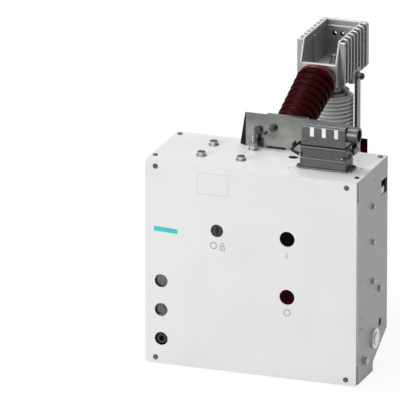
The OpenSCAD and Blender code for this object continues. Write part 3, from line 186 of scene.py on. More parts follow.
def make_floor():
    """A white floor that keeps a faint shadow."""
    mesh = bpy.data.meshes.new("floor")
    z = CAD_BOX[0][2] - FLOOR_GAP
    corners = [(-FLOOR_HALF, -FLOOR_HALF, z), (FLOOR_HALF, -FLOOR_HALF, z),
               (FLOOR_HALF, FLOOR_HALF, z), (-FLOOR_HALF, FLOOR_HALF, z)]
    mesh.from_pydata(corners, [], [(0, 1, 2, 3)])
    floor = bpy.data.objects.new("floor", mesh)
    bpy.context.scene.collection.objects.link(floor)
    material = bpy.data.materials.new("floor")
    material.use_nodes = True
    nodes, links = material.node_tree.nodes, material.node_tree.links
    nodes.clear()
    out = nodes.new("ShaderNodeOutputMaterial")
    diffuse = nodes.new("ShaderNodeBsdfDiffuse")
    diffuse.inputs["Color"].default_value = (FLOOR_GREY, FLOOR_GREY, FLOOR_GREY, 1)
    white = nodes.new("ShaderNodeEmission")
    white.inputs["Strength"].default_value = FLOOR_GLOW
    fade = nodes.new("ShaderNodeMixShader")
    fade.inputs["Fac"].default_value = 1 - FLOOR_SHADOW
    links.new(diffuse.outputs[0], fade.inputs[1])
    links.new(white.outputs[0], fade.inputs[2])
    seen = nodes.new("ShaderNodeMixShader")
    links.new(seen_directly(nodes, links), seen.inputs["Fac"])
    links.new(diffuse.outputs[0], seen.inputs[1])
    links.new(fade.outputs[0], seen.inputs[2])
    links.new(seen.outputs[0], out.inputs["Surface"])
    mesh.materials.append(material)


# Materials


class Shader:
    """A material's nodes, with its principled shader and the object's own coordinates."""

    def __init__(self, name):
        self.material = bpy.data.materials.new(name)
        self.material.use_nodes = True
        self.nodes = self.material.node_tree.nodes
        self.links = self.material.node_tree.links
        self.main = self.nodes["Principled BSDF"]
        self.place = self.nodes.new("ShaderNodeTexCoord").outputs["Object"]

    def noise(self, scale, detail=3.0, stretch=(1, 1, 1)):
        mapping = self.nodes.new("ShaderNodeMapping")
        mapping.inputs["Scale"].default_value = stretch
        noise = self.nodes.new("ShaderNodeTexNoise")
        noise.inputs["Scale"].default_value = scale
        noise.inputs["Detail"].default_value = detail
        self.links.new(self.place, mapping.inputs["Vector"])
        self.links.new(mapping.outputs["Vector"], noise.inputs["Vector"])
        return noise.outputs["Fac"]

    def ramp(self, factor, stops):
        """Colours or grey levels at positions along a factor."""
        ramp = self.nodes.new("ShaderNodeValToRGB")
        elements = ramp.color_ramp.elements
        while len(elements) < len(stops):
            elements.new(0.5)
        for element, (position, colour) in zip(elements, stops):
            element.position = position
            level = colour if isinstance(colour, tuple) else (colour, colour, colour)
            element.color = (*level, 1)
        self.links.new(factor, ramp.inputs["Fac"])
        return ramp.outputs["Color"]

    def bump(self, height, strength, distance=0.001):
        bump = self.nodes.new("ShaderNodeBump")
        bump.inputs["Strength"].default_value = strength
        bump.inputs["Distance"].default_value = distance
        self.links.new(height, bump.inputs["Height"])
        self.links.new(bump.outputs["Normal"], self.main.inputs["Normal"])

    def facing(self, axis):
        """How far a face looks along an axis of the model, from 0 for away to 1 for towards."""
        split = self.nodes.new("ShaderNodeSeparateXYZ")
        half = self.nodes.new("ShaderNodeMath")
        half.operation = "MULTIPLY_ADD"
        half.inputs[1].default_value = 0.5
        half.inputs[2].default_value = 0.5
        self.links.new(self.nodes.new("ShaderNodeNewGeometry").outputs["Normal"], split.inputs[0])
        self.links.new(split.outputs[axis], half.inputs[0])
        return half.outputs[0]

    def multiplied(self, colour_a, colour_b):
        mix = self.nodes.new("ShaderNodeMix")
        mix.data_type = "RGBA"
        mix.blend_type = "MULTIPLY"
        mix.inputs["Factor"].default_value = 1.0
        self.links.new(colour_a, mix.inputs["A"])
        self.links.new(colour_b, mix.inputs["B"])
        return mix.outputs["Result"]

    def set(self, socket, value):
        self.main.inputs[socket].default_value = value

    def link(self, socket, value):
        self.links.new(value, self.main.inputs[socket])


def shades(colour, low, high, start=0.3, end=0.7):
    """Two stops for a ramp: a colour dimmed or brightened by low at start and by high at end."""
    return [(position, tuple(min(1, c * factor) for c in colour))
            for position, factor in ((start, low), (end, high))]


def levels(middle, less, more):
    """Two stops for a ramp of roughness round a middle level."""
    return [(0.3, middle - less), (0.7, middle + more)]


def paint(name, colour, rough, grain=0.12, tone=0.02):
    """Powder coat: a fine orange-peel bump and a slight change of tone."""
    s = Shader(name)
    s.link("Base Color", s.ramp(s.noise(9, 4), shades(colour, 1 - tone, 1 + tone, 0.35, 0.65)))
    s.link("Roughness", s.ramp(s.noise(35), levels(rough, 0.05, 0.05)))
    s.bump(s.noise(900, 2), grain, 0.0003)
    return s.material


def metal(name, colour, rough, brush=(1, 1, 1), grain=0.1, patch=0.06):
    """Bare or plated metal, with patches of tone and a grain drawn out along brush."""
    s = Shader(name)
    s.set("Metallic", 1.0)
    s.link("Base Color", s.ramp(s.noise(28, 5), shades(colour, 1 - patch, 1 + patch)))
    s.link("Roughness", s.ramp(s.noise(60, 4, brush), levels(rough, 0.1, 0.1)))
    s.bump(s.noise(420, 3, brush), grain, 0.0003)
    return s.material


def cast(name, colour, rough, grain=0.35, metallic=0.6, top=1.0):
    """Sand-cast alloy: grainy and dull, with faces that look up painted lighter by top, as painted light from
    above.
    """
    s = Shader(name)
    s.set("Metallic", metallic)
    tone = s.ramp(s.noise(40, 6), shades(colour, 0.92, 1.06))
    painted_top_light = s.ramp(s.facing("Z"), [(0.72, 1 / top), (0.9, 1.0)])
    s.link("Base Color", s.multiplied(tone, painted_top_light))
    s.link("Roughness", s.ramp(s.noise(90, 4), levels(rough, 0.08, 0.08)))
    s.bump(s.noise(520, 4), grain, 0.0005)
    return s.material


def galvanised(name, colour, rough=0.2):
    """Bright zinc-coated sheet with broad spangles, painted dark as shade on faces that look left, where it is
    bent away.
    """
    s = Shader(name)
    s.set("Metallic", 1.0)
    spangle = s.ramp(s.noise(26, 6), shades(colour, 0.86, 1.14))
    painted_left_shade = s.ramp(s.facing("X"), [(0.27, 0.06), (0.34, 1.0)])
    s.link("Base Color", s.multiplied(spangle, painted_left_shade))
    s.link("Roughness", s.ramp(s.noise(14, 4, (1, 1, 3)), levels(rough, 0.06, 0.1)))
    s.bump(s.noise(120, 3), 0.04, 0.0003)
    return s.material


def resin(name, colour, rough, gloss):
    """Cast resin with soft changes of tone."""
    s = Shader(name)
    s.set("Specular IOR Level", gloss)
    s.link("Base Color", s.ramp(s.noise(16, 3), shades(colour, 0.85, 1.2, 0.35, 0.65)))
    s.link("Roughness", s.ramp(s.noise(30, 3), levels(rough, 0.04, 0.06)))
    s.bump(s.noise(60, 2), 0.05, 0.0004)
    return s.material


def glaze(name, colour, rough=0.2):
    """Glazed ceramic ribs: faces that look down under each rib are painted dark as shade, the tops stay light.
    """
    s = Shader(name)
    tone = s.ramp(s.noise(22, 3), shades(colour, 0.94, 1.05))
    painted_under_shade = s.ramp(s.facing("Z"), [(0.25, 0.05), (0.42, 0.4), (0.52, 1.0)])
    s.link("Base Color", s.multiplied(tone, painted_under_shade))
    s.link("Roughness", s.ramp(s.noise(30, 3), levels(rough, 0.05, 0.08)))
    s.bump(s.noise(60, 2), 0.05, 0.0004)
    return s.material


def plastic(name, colour, rough=0.5, gloss=0.2):
    """Moulded plastic or rubber with a fine grain."""
    s = Shader(name)
    s.set("Specular IOR Level", gloss)
    s.link("Base Color", s.ramp(s.noise(20), shades(colour, 0.9, 1.1, 0.4, 0.6)))
    s.link("Roughness", s.ramp(s.noise(80), levels(rough, 0.06, 0.06)))
    s.bump(s.noise(700, 2), 0.1, 0.0002)
    return s.material


def bolt_metal(name, top, side, rough=0.3):
    """Plated bolts: faces that look up are painted dark as shade, the sides are bright."""
    s = Shader(name)
    s.set("Metallic", 1.0)
    # Painted shade: faces that look up take the dark top colour.
    s.link("Base Color", s.ramp(s.facing("Z"), [(0.8, side), (0.96, top)]))
    s.link("Roughness", s.ramp(s.noise(80, 4), levels(rough, 0.08, 0.08)))
    s.bump(s.noise(420, 3), 0.08, 0.0003)
    return s.material


def make_materials():
    return {
        "front_paint": paint("front_paint", (0.80, 0.80, 0.79), 0.42),
        # Painted shade: the sides' paint is darker than the front's, for the shade on the sides.
        "side_paint": paint("side_paint", (0.618, 0.62, 0.608), 0.42),
        "zinc": metal("zinc", (0.40, 0.41, 0.42), 0.32),
        "galvanised": galvanised("galvanised", (0.178, 0.183, 0.174)),
        "steel": metal("steel", (0.60, 0.61, 0.62), 0.25, brush=(1, 6, 1)),
        "brass": metal("brass", (0.70, 0.52, 0.24), 0.3),
        "black_plastic": plastic("black_plastic", (0.003, 0.003, 0.003), gloss=0.01),
        "red_plastic": plastic("red_plastic", (0.016, 0.001, 0.003), gloss=0.01),
        # Painted light: the alloy's faces that look up are 1.9 times lighter than its other faces.
        "alloy": cast("alloy", (0.62, 0.62, 0.61), 0.45, top=1.9),
        "dark_metal": metal("dark_metal", (0.12, 0.12, 0.12), 0.4),
        "copper": metal("copper", (0.60, 0.32, 0.20), 0.3),
        "resin": resin("resin", (0.028, 0.0023, 0.0030), 0.24, 0.02),
        "dull_resin": resin("dull_resin", (0.022, 0.0014, 0.0022), 0.8, 0.0),
        # A lighter copy of the resin, a painted highlight on the insulator's collar
        "painted_highlight_resin": resin("painted_highlight_resin", (0.10, 0.005, 0.014), 0.25, 0.25),
        "ceramic": glaze("ceramic", (0.86, 0.865, 0.85)),
        "plug_grey": cast("plug_grey", (0.084, 0.084, 0.086), 0.34, 0.15, 0.6),
        "hood_grey": cast("hood_grey", (0.096, 0.097, 0.098), 0.34, 0.15, 0.6),
        "rubber": plastic("rubber", (0.012, 0.012, 0.012), 0.7),
        "lever_steel": metal("lever_steel", (0.04, 0.04, 0.04), 0.25),
        "bracket_bolt": metal("bracket_bolt", (0.07, 0.075, 0.068), 0.35),
        "dull_steel": metal("dull_steel", (0.055, 0.056, 0.055), 0.3),
        "disc_metal": metal("disc_metal", (0.13, 0.13, 0.125), 0.4),
        "screw_metal": metal("screw_metal", (0.11, 0.11, 0.115), 0.3),
        "strut_steel": metal("strut_steel", (0.17, 0.17, 0.168), 0.3, brush=(1, 1, 0.1)),
        "bolt_metal": bolt_metal("bolt_metal", (0.03, 0.03, 0.031), (0.34, 0.345, 0.35)),
    }


MATERIALS = make_materials()

# Finish of the CAD nodes

# Width of the rounded edges in millimetres, by slot
EDGES = {
    "front_paint": 1.2, "side_paint": 0.8, "alloy": 1.6, "plug_grey": 1.2, "zinc": 0.5, "galvanised": 0.8,
    "steel": 0.5, "black_plastic": 0.6, "red_plastic": 0.8, "dark_metal": 0.6, "resin": 1.2,
}
# Nodes whose many small faces keep their edges
PLAIN_NODES = {"closing_spring", "opening_spring", "charging_worm"}
# Nodes whose finish differs from the rest of their slot
OWN_FINISH = {
    "lower_support": "dull_resin",
    "lock_cylinder": "dull_steel", "crank_shaft": "dull_steel", "position_indicator": "disc_metal",
    "cover_screws": "screw_metal", "top_bolts": "bolt_metal", "struts": "strut_steel",
}
# Edges sharper than this are rounded
SHARP_ANGLE = math.radians(35)


def round_edges(thing, width, segments=2):
    bevel = thing.modifiers.new("edges", "BEVEL")
    bevel.width = width * MM
    bevel.segments = segments
    bevel.limit_method = "ANGLE"
    bevel.angle_limit = SHARP_ANGLE


def dress_frame():
    """Gives each CAD node its own or its slot's material, and small rounded edges."""
    for part in frame["record"]["subparts"]:
        node, slot = part["node"], part["material_slot"]
        finish = MATERIALS[OWN_FINISH.get(node, slot)]
        thing = frame["nodes"][node]
        if not thing.material_slots:
            thing.data.materials.append(finish)
        for place in thing.material_slots:
            place.material = finish
        if slot in EDGES and node not in PLAIN_NODES:
            round_edges(thing, EDGES[slot])


# New pieces: each is built from solids whose sizes are in millimetres

RIGHT, FORWARD, UP = Vector((1, 0, 0)), Vector((0, -1, 0)), Vector((0, 0, 1))
# Sides of round bars, of small ones and of hexagons
ROUND, SMALL, HEX = 48, 24, 6


def built_mesh(name, build):
    """The mesh of the solids that build(bm) makes, with all faces turned outwards."""
    mesh = bpy.data.meshes.new(name)
    bm = bmesh.new()
    build(bm)
    bmesh.ops.recalc_face_normals(bm, faces=bm.faces)
    bm.to_mesh(mesh)
    bm.free()
    return mesh


def piece(name, material, build, body="root", smooth=False):
    """A new piece made by build(bm), which rides on a body."""
    mesh = built_mesh(name, build)
    mesh.materials.append(material)
    for face in mesh.polygons:
        face.use_smooth = smooth
    thing = bpy.data.objects.new(name, mesh)
    bpy.context.scene.collection.objects.link(thing)
    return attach(thing, body)


def add_solid(bm, ring_a, ring_b):
    """A closed solid between two rings of as many points."""
    a = [bm.verts.new(point) for point in ring_a]
    b = [bm.verts.new(point) for point in ring_b]
    for i in range(len(a)):
        j = (i + 1) % len(a)
        bm.faces.new((a[i], a[j], b[j], b[i]))
    bm.faces.new(a[::-1])
    bm.faces.new(b)


def add_along_x(bm, outline, x0, x1):
    """An outline of depths and heights drawn out across the width."""
    add_solid(bm, [at(x0, y, z) for y, z in outline], [at(x1, y, z) for y, z in outline])


def add_along_y(bm, outline, y0, y1):
    """An outline of widths and heights drawn out in depth."""
    add_solid(bm, [at(x, y0, z) for x, z in outline], [at(x, y1, z) for x, z in outline])


def add_rod(bm, start, end, radius, end_radius=None, steps=ROUND):
    """A round bar or cone between two points."""
    axis = (end - start).normalized()
    side = axis.orthogonal().normalized()
    up = axis.cross(side)
    last = radius if end_radius is None else end_radius
    turns = [2 * math.pi * i / steps for i in range(steps)]
    ring = [math.cos(t) * side + math.sin(t) * up for t in turns]
    add_solid(bm, [start + r * radius * MM for r in ring], [end + r * last * MM for r in ring])


def add_box(bm, low, high):
    (x0, y0, z0), (x1, y1, z1) = low, high
    add_along_x(bm, [(y0, z0), (y1, z0), (y1, z1), (y0, z1)], x0, x1)


def add_stack(bm, foot, out, parts):
    """Bars on one axis; each part: where it starts and ends above the foot, its radius and its sides."""
    for start, end, radius, steps in parts:
        add_rod(bm, foot + out * start * MM, foot + out * end * MM, radius, steps=steps)


def add_turned(bm, foot, axes, profile, steps=96):
    """A closed solid turned round the first of its axes; the profile lists radius and height."""
    along, side, up = axes
    turns = [2 * math.pi * i / steps for i in range(steps)]
    rings = []
    for radius, height in profile:
        ring = [along * height + side * radius * math.cos(t) + up * radius * math.sin(t) for t in turns]
        rings.append([bm.verts.new(foot + point * MM) for point in ring])
    for low, high in zip(rings, rings[1:]):
        for i in range(steps):
            j = (i + 1) % steps
            bm.faces.new((low[i], low[j], high[j], high[i]))
    bm.faces.new(rings[0][::-1])
    bm.faces.new(rings[-1])


def cut(thing, build):
    """Cuts the solids that build(bm) makes out of a piece."""
    mesh = built_mesh("cutter", build)
    cutter = bpy.data.objects.new("cutter", mesh)
    bpy.context.scene.collection.objects.link(cutter)
    boolean = thing.modifiers.new("cut", "BOOLEAN")
    boolean.operation = "DIFFERENCE"
    boolean.solver = "EXACT"
    boolean.object = cutter
    bpy.context.view_layer.update()
    done = bpy.data.meshes.new_from_object(thing.evaluated_get(bpy.context.evaluated_depsgraph_get()))
    thing.modifiers.remove(boolean)
    old, thing.data = thing.data, done
    bpy.data.meshes.remove(old)
    bpy.data.objects.remove(cutter)
    bpy.data.meshes.remove(mesh)


# Marks and plates on the front cover

INK_THICK = 0.08
MARK_STEPS = 48


def add_sheet(bm, outline, y0, y1, inner=None):
    """A flat figure in the front's plane from depth y0 to y1, with an optional hole of as many corners."""
    near = [bm.verts.new(at(x, y0, z)) for x, z in outline]
    far = [bm.verts.new(at(x, y1, z)) for x, z in outline]
    count = len(outline)
    turns = [(i, (i + 1) % count) for i in range(count)]
    for i, j in turns:
        bm.faces.new((near[i], near[j], far[j], far[i]))
    if inner is None:
        bm.faces.new(near)
        bm.faces.new(far[::-1])
        return
    near_in = [bm.verts.new(at(x, y0, z)) for x, z in inner]
    far_in = [bm.verts.new(at(x, y1, z)) for x, z in inner]
    for i, j in turns:
        bm.faces.new((near_in[j], near_in[i], far_in[i], far_in[j]))
        bm.faces.new((near[j], near[i], near_in[i], near_in[j]))
        bm.faces.new((far[i], far[j], far_in[j], far_in[i]))


def circle(x, z, r, steps=MARK_STEPS):
    return [(x + r * math.cos(2 * math.pi * i / steps), z + r * math.sin(2 * math.pi * i / steps))
            for i in range(steps)]


def rectangle(x0, z0, x1, z1):
    return [(x0, z0), (x1, z0), (x1, z1), (x0, z1)]


def arch(x, z0, z1, half, steps=16):
    """A shape like a doorway: straight sides from z0 up to z1 and a half circle above."""
    top = [(x + half * math.cos(math.pi * i / steps), z1 + half * math.sin(math.pi * i / steps))
           for i in range(steps + 1)]
    return [(x - half, z0), (x + half, z0), *top]


# Width of the marks' lines; each mark: its middle and its size
MARK_LINE = 1.9
ON_MARK = (89.6, 301.4, 15)
OFF_MARK = (90.3, 161.8, 16.5)
LOCK_OPEN_MARK = (-91.3, 305.5, 17)
LOCK_SHUT_MARK = (-69.7, 305, 12, 19)
# The padlock's line as a share of the others, its case's share of its height, its shackle's half
# width as a share of its width, and its keyhole
PADLOCK_LINE = 0.8
PADLOCK_CASE = 0.56
PADLOCK_SHACKLE = 0.36
PADLOCK_KEYHOLE_R = 1.6
# Corners of the bare plates
RATING_PLACE = (-131.5, 429, -54.6, 480)
RATING_LINE = 0.7
NAME_PLACE = [(-238.5, 325.5), (-181, 323), (-180.2, 334), (-238, 337.5)]
NAME_THICK = 0.6


def ring_mark(name, place, material):
    x, z, size = place
    piece(name, material, lambda bm: add_sheet(
        bm, circle(x, z, size / 2), -INK_THICK, 0, circle(x, z, size / 2 - MARK_LINE)))


def make_marks():
    ink = plastic("ink", (0.30, 0.30, 0.29), 0.6)
    x, z, tall = ON_MARK
    piece("on_mark", ink, lambda bm: add_sheet(
        bm, rectangle(x - MARK_LINE / 2, z - tall / 2, x + MARK_LINE / 2, z + tall / 2), -INK_THICK, 0))
    ring_mark("off_mark", OFF_MARK, ink)
    ring_mark("unlocked_mark", LOCK_OPEN_MARK, ink)
    x, z, wide, tall = LOCK_SHUT_MARK
    low, bar = z - tall / 2, MARK_LINE * PADLOCK_LINE
    case_top = low + tall * PADLOCK_CASE

    def padlock(bm):
        case_hole = rectangle(x - wide / 2 + bar, low + bar, x + wide / 2 - bar, case_top - bar)
        add_sheet(bm, rectangle(x - wide / 2, low, x + wide / 2, case_top), -INK_THICK, 0, case_hole)
        half = wide * PADLOCK_SHACKLE
        shoulder = low + tall - half
        add_sheet(bm, arch(x, case_top, shoulder, half), -INK_THICK, 0, arch(x, case_top, shoulder, half - bar))
        add_sheet(bm, circle(x, (low + case_top) / 2, PADLOCK_KEYHOLE_R, 16), -INK_THICK, 0)

    piece("locked_mark", ink, padlock)
    outline = plastic("plate_line", (0.50, 0.50, 0.49), 0.6)
    x0, z0, x1, z1 = RATING_PLACE
    line = RATING_LINE
    piece("rating_plate", paint("rating_plate", (0.80, 0.80, 0.79), 0.35), lambda bm: add_sheet(
        bm, rectangle(x0, z0, x1, z1), -INK_THICK, 0))
    inner = rectangle(x0 + line, z0 + line, x1 - line, z1 - line)
    piece("rating_line", outline, lambda bm: add_sheet(
        bm, rectangle(x0, z0, x1, z1), -2 * INK_THICK, 0, inner))
    piece("name_place", plastic("name_place", (0.075, 0.55, 0.57), 0.35), lambda bm: add_sheet(
        bm, NAME_PLACE, -NAME_THICK, 0))

# Pole head: two walls with fins, a sloping front plate, a back wall with holes for the busbar

# Middle of the head, and the axis of the pole under it
HEAD_X = 27.5
AXIS_X, AXIS_Y = 25, 492
HEAD_HALF = 46.5
HEAD_IN = 41
HEAD_LOW, HEAD_TOP = 588, 697
HEAD_FRONT, HEAD_BACK = 411, 579
# The front plate's lip, how far its foot leans forward, and its thickness at the floor and at the lip
LIP_Y, LIP_Z = 388, 643
LIP_LEAN = 2
LIP_THICK = (8, 11)
POCKET_FLOOR = 612
BACK_WALL = 10
LEDGE_Z, LEDGE_DEEP = 682, 4
# How far the parts of a casting reach into each other
OVERLAP = 1
FIN_OUT = 13
FIN_LOW = 588
FIN_ROUND = 8
FIN_FIRST, FIN_PITCH, FIN_THICK, FIN_COUNT = 430, 22, 7, 7
# Cut of a fin's lower corner: across and up
FIN_CUT = (4, 6)
# The flanges beside the pocket's mouth: depth, thickness, heights and half width of the taper's foot
PLATE_Y, PLATE_THICK = 408, 8
PLATE_TOP, PLATE_SIDE_LOW, PLATE_INNER_LOW, PLATE_LOW = 694, 592, 608, 576
PLATE_TAPER = 38
# The round boss under the head, the rib in the pocket and the eyes for the struts
BOSS_R, BOSS_LOW = 45, 575
RIB_Y = (470, 478)
RIB_THICK, RIB_TOP = 4, 685
EYE_Y = (470, 518)
EYE_Z = (575, 604)
EYE_OUT = 59
TERMINAL_Z = 664
TERMINAL_PITCH = 18
TERMINAL_R = 5.5
TERMINAL_SIDES = 32
# The bores' cut: from where to where before the head's back
TERMINAL_CUT = (20, -1)
# A black sleeve in the bores, painted shade inside them: from where to where before the head's back, and how
# far it reaches into the wall and into the bore
BORE_SHADE = (15, 0.5)
BORE_SHADE_OUT, BORE_SHADE_IN = 0.1, 0.4
# The insulator's end in the head: a cone
POST_END_Y, POST_END_Z = 382.1, 609.5
POST_END_LENGTH = 24
POST_END_R = (36, 25)
POST_TILT = math.radians(22)
POST_RISE = Vector((0, math.cos(POST_TILT), math.sin(POST_TILT)))
NUT_Y = 500
STEM_NUT = ((0, 2.5, 12, ROUND), (2.5, 12, 10, HEX), (12, 22, 6, ROUND))


def fin_outline(side):
    corner = [(FIN_OUT - FIN_ROUND + FIN_ROUND * math.cos(math.radians(a)),
               HEAD_TOP - FIN_ROUND + FIN_ROUND * math.sin(math.radians(a))) for a in range(0, 91, 15)]
    across, up = FIN_CUT
    outline = [(-OVERLAP, FIN_LOW), (FIN_OUT - across, FIN_LOW), (FIN_OUT, FIN_LOW + up), *corner,
               (-OVERLAP, HEAD_TOP)]
    return [(HEAD_X + side * (HEAD_HALF + x), z) for x, z in outline]


def terminal_rods(radius, span):
    """Three rods along the terminal bores, over a span before the head's back."""
    start, end = span

    def build(bm):
        for i in (-1, 0, 1):
            x = AXIS_X + i * TERMINAL_PITCH
            add_rod(bm, at(x, HEAD_BACK - start, TERMINAL_Z), at(x, HEAD_BACK - end, TERMINAL_Z), radius,
                    steps=TERMINAL_SIDES)

    return build


def make_pole_head():
    def middle(bm):
        back = HEAD_BACK - BACK_WALL
        add_along_x(bm, [
            (LIP_Y, LIP_Z), (LIP_Y - LIP_LEAN, HEAD_LOW), (HEAD_BACK, HEAD_LOW), (HEAD_BACK, HEAD_TOP),
            (back, HEAD_TOP), (back, LEDGE_Z), (back - LEDGE_DEEP, LEDGE_Z), (back - LEDGE_DEEP, POCKET_FLOOR),
            (LIP_Y + LIP_THICK[0], POCKET_FLOOR), (LIP_Y + LIP_THICK[1], LIP_Z)],
            HEAD_X - HEAD_IN - OVERLAP, HEAD_X + HEAD_IN + OVERLAP)

    def walls(bm):
        side_wall = [(HEAD_FRONT, HEAD_TOP), (LIP_Y, LIP_Z), (LIP_Y - LIP_LEAN, HEAD_LOW),
                     (HEAD_BACK, HEAD_LOW), (HEAD_BACK, HEAD_TOP)]
        for side in (-1, 1):
            inner, outer = sorted((HEAD_X + side * HEAD_IN, HEAD_X + side * HEAD_HALF))
            add_along_x(bm, side_wall, inner, outer)
            for i in range(FIN_COUNT):
                y = FIN_FIRST + i * FIN_PITCH
                last = i == FIN_COUNT - 1
                add_along_y(bm, fin_outline(side), y, HEAD_BACK if last else y + FIN_THICK)
        inner, outer = HEAD_HALF - OVERLAP, HEAD_HALF + FIN_OUT
        flange = [(inner, PLATE_TOP), (outer, PLATE_TOP), (outer, PLATE_SIDE_LOW), (PLATE_TAPER, PLATE_LOW),
                  (0, PLATE_LOW), (0, PLATE_INNER_LOW), (inner, PLATE_INNER_LOW)]
        for side in (-1, 1):
            add_along_y(bm, [(HEAD_X + side * x, z) for x, z in flange], PLATE_Y, PLATE_Y + PLATE_THICK)
        add_rod(bm, at(HEAD_X, AXIS_Y, BOSS_LOW), at(HEAD_X, AXIS_Y, HEAD_LOW + OVERLAP), BOSS_R)
        x = HEAD_X - HEAD_IN
        add_box(bm, (x - OVERLAP, RIB_Y[0], POCKET_FLOOR), (x + RIB_THICK, RIB_Y[1], RIB_TOP))

    def post_end(bm):
        end = at(HEAD_X, POST_END_Y, POST_END_Z)
        add_rod(bm, end - POST_RISE * OVERLAP * MM, end + POST_RISE * POST_END_LENGTH * MM, *POST_END_R)

    def eyes(bm):
        for side in (-1, 1):
            inner, outer = sorted((HEAD_X + side * (HEAD_HALF - OVERLAP), HEAD_X + side * EYE_OUT))
            add_box(bm, (inner, EYE_Y[0], EYE_Z[0]), (outer, EYE_Y[1], EYE_Z[1]))

    alloy = MATERIALS["alloy"]
    head = piece("pole_head_middle", alloy, middle)
    cut(head, terminal_rods(TERMINAL_R, TERMINAL_CUT))
    round_edges(head, 1.2)
    sides = piece("pole_head", alloy, walls)
    round_edges(sides, 1.8, 3)
    piece("post_end", MATERIALS["resin"], post_end, smooth=True)
    # Painted shade: a black sleeve darkens the walls of the terminal bores.
    bore_shade = piece("terminal_bore_shade", MATERIALS["black_plastic"],
                   terminal_rods(TERMINAL_R + BORE_SHADE_OUT, BORE_SHADE))
    cut(bore_shade, terminal_rods(TERMINAL_R - BORE_SHADE_IN, TERMINAL_CUT))
    eye = piece("pole_head_eyes", alloy, eyes)
    round_edges(eye, 2, 3)
    for part in (head, sides, eye):
        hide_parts("upper_pole_head")
    nut = piece("stem_nut", MATERIALS["zinc"], lambda bm: add_stack(
        bm, at(HEAD_X, NUT_Y, POCKET_FLOOR), UP, STEM_NUT))
    round_edges(nut, 0.6)


# Upper insulator and interrupter: bodies with ribs, turned round an axis

POST_FOOT_Y, POST_FOOT_Z = 205, 538
POST_LEN = 191
POST_CORE = 34
# Radius of the sheds at the foot, what it grows by up to the head, and the axis's lean to the right
POST_TIP = 43.5
POST_GROW = 4.5
POST_LEAN = 0.02
POST_SHEDS = 8
POST_END = 7
# A shed over one pitch: share of the pitch and share of the shed's rise
SHED_CURVE = [(0.0, 0.0), (0.12, 0.30), (0.24, 0.66), (0.34, 0.90), (0.42, 0.985), (0.50, 1.0), (0.58, 0.97),
              (0.66, 0.86), (0.76, 0.60), (0.87, 0.28)]
# The collar under the head, in a lighter resin as a painted highlight: radius and height along the post
COLLAR = [(34, 180), (45, 181), (46, 185), (44, 189), (38, 190.5)]
TUBE_X = 26
TUBE_TOP = 541
TUBE_RIBS = 13
TUBE_PITCH = 9.7
TUBE_END = 4
TUBE_CORE, TUBE_R = 43, 51.5
RIB_CURVE = [(0.0, 0.0), (0.06, 0.85), (0.12, 1.0), (0.36, 1.0), (0.52, 0.9), (0.7, 0.3), (0.78, 0.0)]


def shed_profile():
    pitch = (POST_LEN - 2 * POST_END) / POST_SHEDS
    profile = [(POST_CORE, 0)]
    for i in range(POST_SHEDS):
        for part, rise in SHED_CURVE:
            height = POST_END + (i + part) * pitch
            tip = POST_TIP + POST_GROW * height / POST_LEN
            profile.append((POST_CORE + (tip - POST_CORE) * rise, height))
    return profile + [(POST_CORE, POST_LEN - POST_END), (POST_CORE, POST_LEN)]


def rib_profile():
    low = TUBE_TOP - TUBE_RIBS * TUBE_PITCH - TUBE_END
    profile = [(TUBE_CORE, low)]
    for i in range(TUBE_RIBS):
        profile += [(TUBE_CORE + (TUBE_R - TUBE_CORE) * rise, low + TUBE_END + (i + part) * TUBE_PITCH)
                    for part, rise in RIB_CURVE]
    return profile + [(TUBE_CORE, TUBE_TOP)]


def make_insulators():
    foot = at(AXIS_X, POST_FOOT_Y, POST_FOOT_Z)
    along = Vector((POST_LEAN, *POST_RISE[1:])).normalized()
    axes = (along, RIGHT, Vector((0, -math.sin(POST_TILT), math.cos(POST_TILT))))
    post = piece("insulator_post", MATERIALS["resin"], lambda bm: add_turned(
        bm, foot, axes, shed_profile()), smooth=True)
    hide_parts("upper_insulator")
    # The collar's lighter resin is a painted highlight at the top of the post.
    piece("insulator_collar", MATERIALS["painted_highlight_resin"], lambda bm: add_turned(
        bm, foot, axes, COLLAR), smooth=True)
    tube = piece("interrupter_tube", MATERIALS["ceramic"], lambda bm: add_turned(
        bm, at(TUBE_X, AXIS_Y, 0), (UP, RIGHT, -FORWARD), rib_profile()))
    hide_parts("interrupter_body")


# Plug: base, hood with three white sheets painted as highlights, seal and cable gland, and its two locking
# levers

PLUG_X, PLUG_Y = 155, 87
PLUG_HALF = 56.75
PLUG_DEEP = 25
PLUG_LEFT, PLUG_RIGHT = PLUG_X - PLUG_HALF, PLUG_X + PLUG_HALF
PLUG_FRONT, PLUG_BACK = PLUG_Y - PLUG_DEEP, PLUG_Y + PLUG_DEEP
PLUG_FOOT = 498
PLUG_SEAM = 553
PLUG_TOP = 604
PLUG_STEP = 524.5
HOOD_IN = 3
HOOD_EDGE = 5
# Three white sheets on the hood's front, painted highlights: their middles, width and heights
SLOT_MIDDLES = (127.2, 156.2, 186.6)
SLOT_WIDE = 9.5
SLOT_LOW, SLOT_HIGH = 576.5, 598.5
# How far a slot's sheet stands out of the hood's front and reaches into it
SLOT_THICK, SLOT_IN = 0.4, 0.2
SEAL_HALF = 1.3
SEAL_OUT = 0.6
# The base from its foot up: how far each box reaches out past the casting, in width and depth, and
# its heights
BASE_BOXES = [(3, 3, PLUG_FOOT, PLUG_FOOT + 4), (11, -4, PLUG_FOOT, PLUG_FOOT + 3.5),
              (0, 0, PLUG_FOOT + 3.5, PLUG_STEP), (-1.5, -1.5, PLUG_STEP - 1, PLUG_SEAM - SEAL_HALF)]
# The cable gland's neck, end and bore: from where to where past the casting's right side, and radius
GLAND_Z = 583
GLAND_RODS = [(-8, 4, 17), (3, 24, 19)]
GLAND_BORES = [(6, 26, 14)]


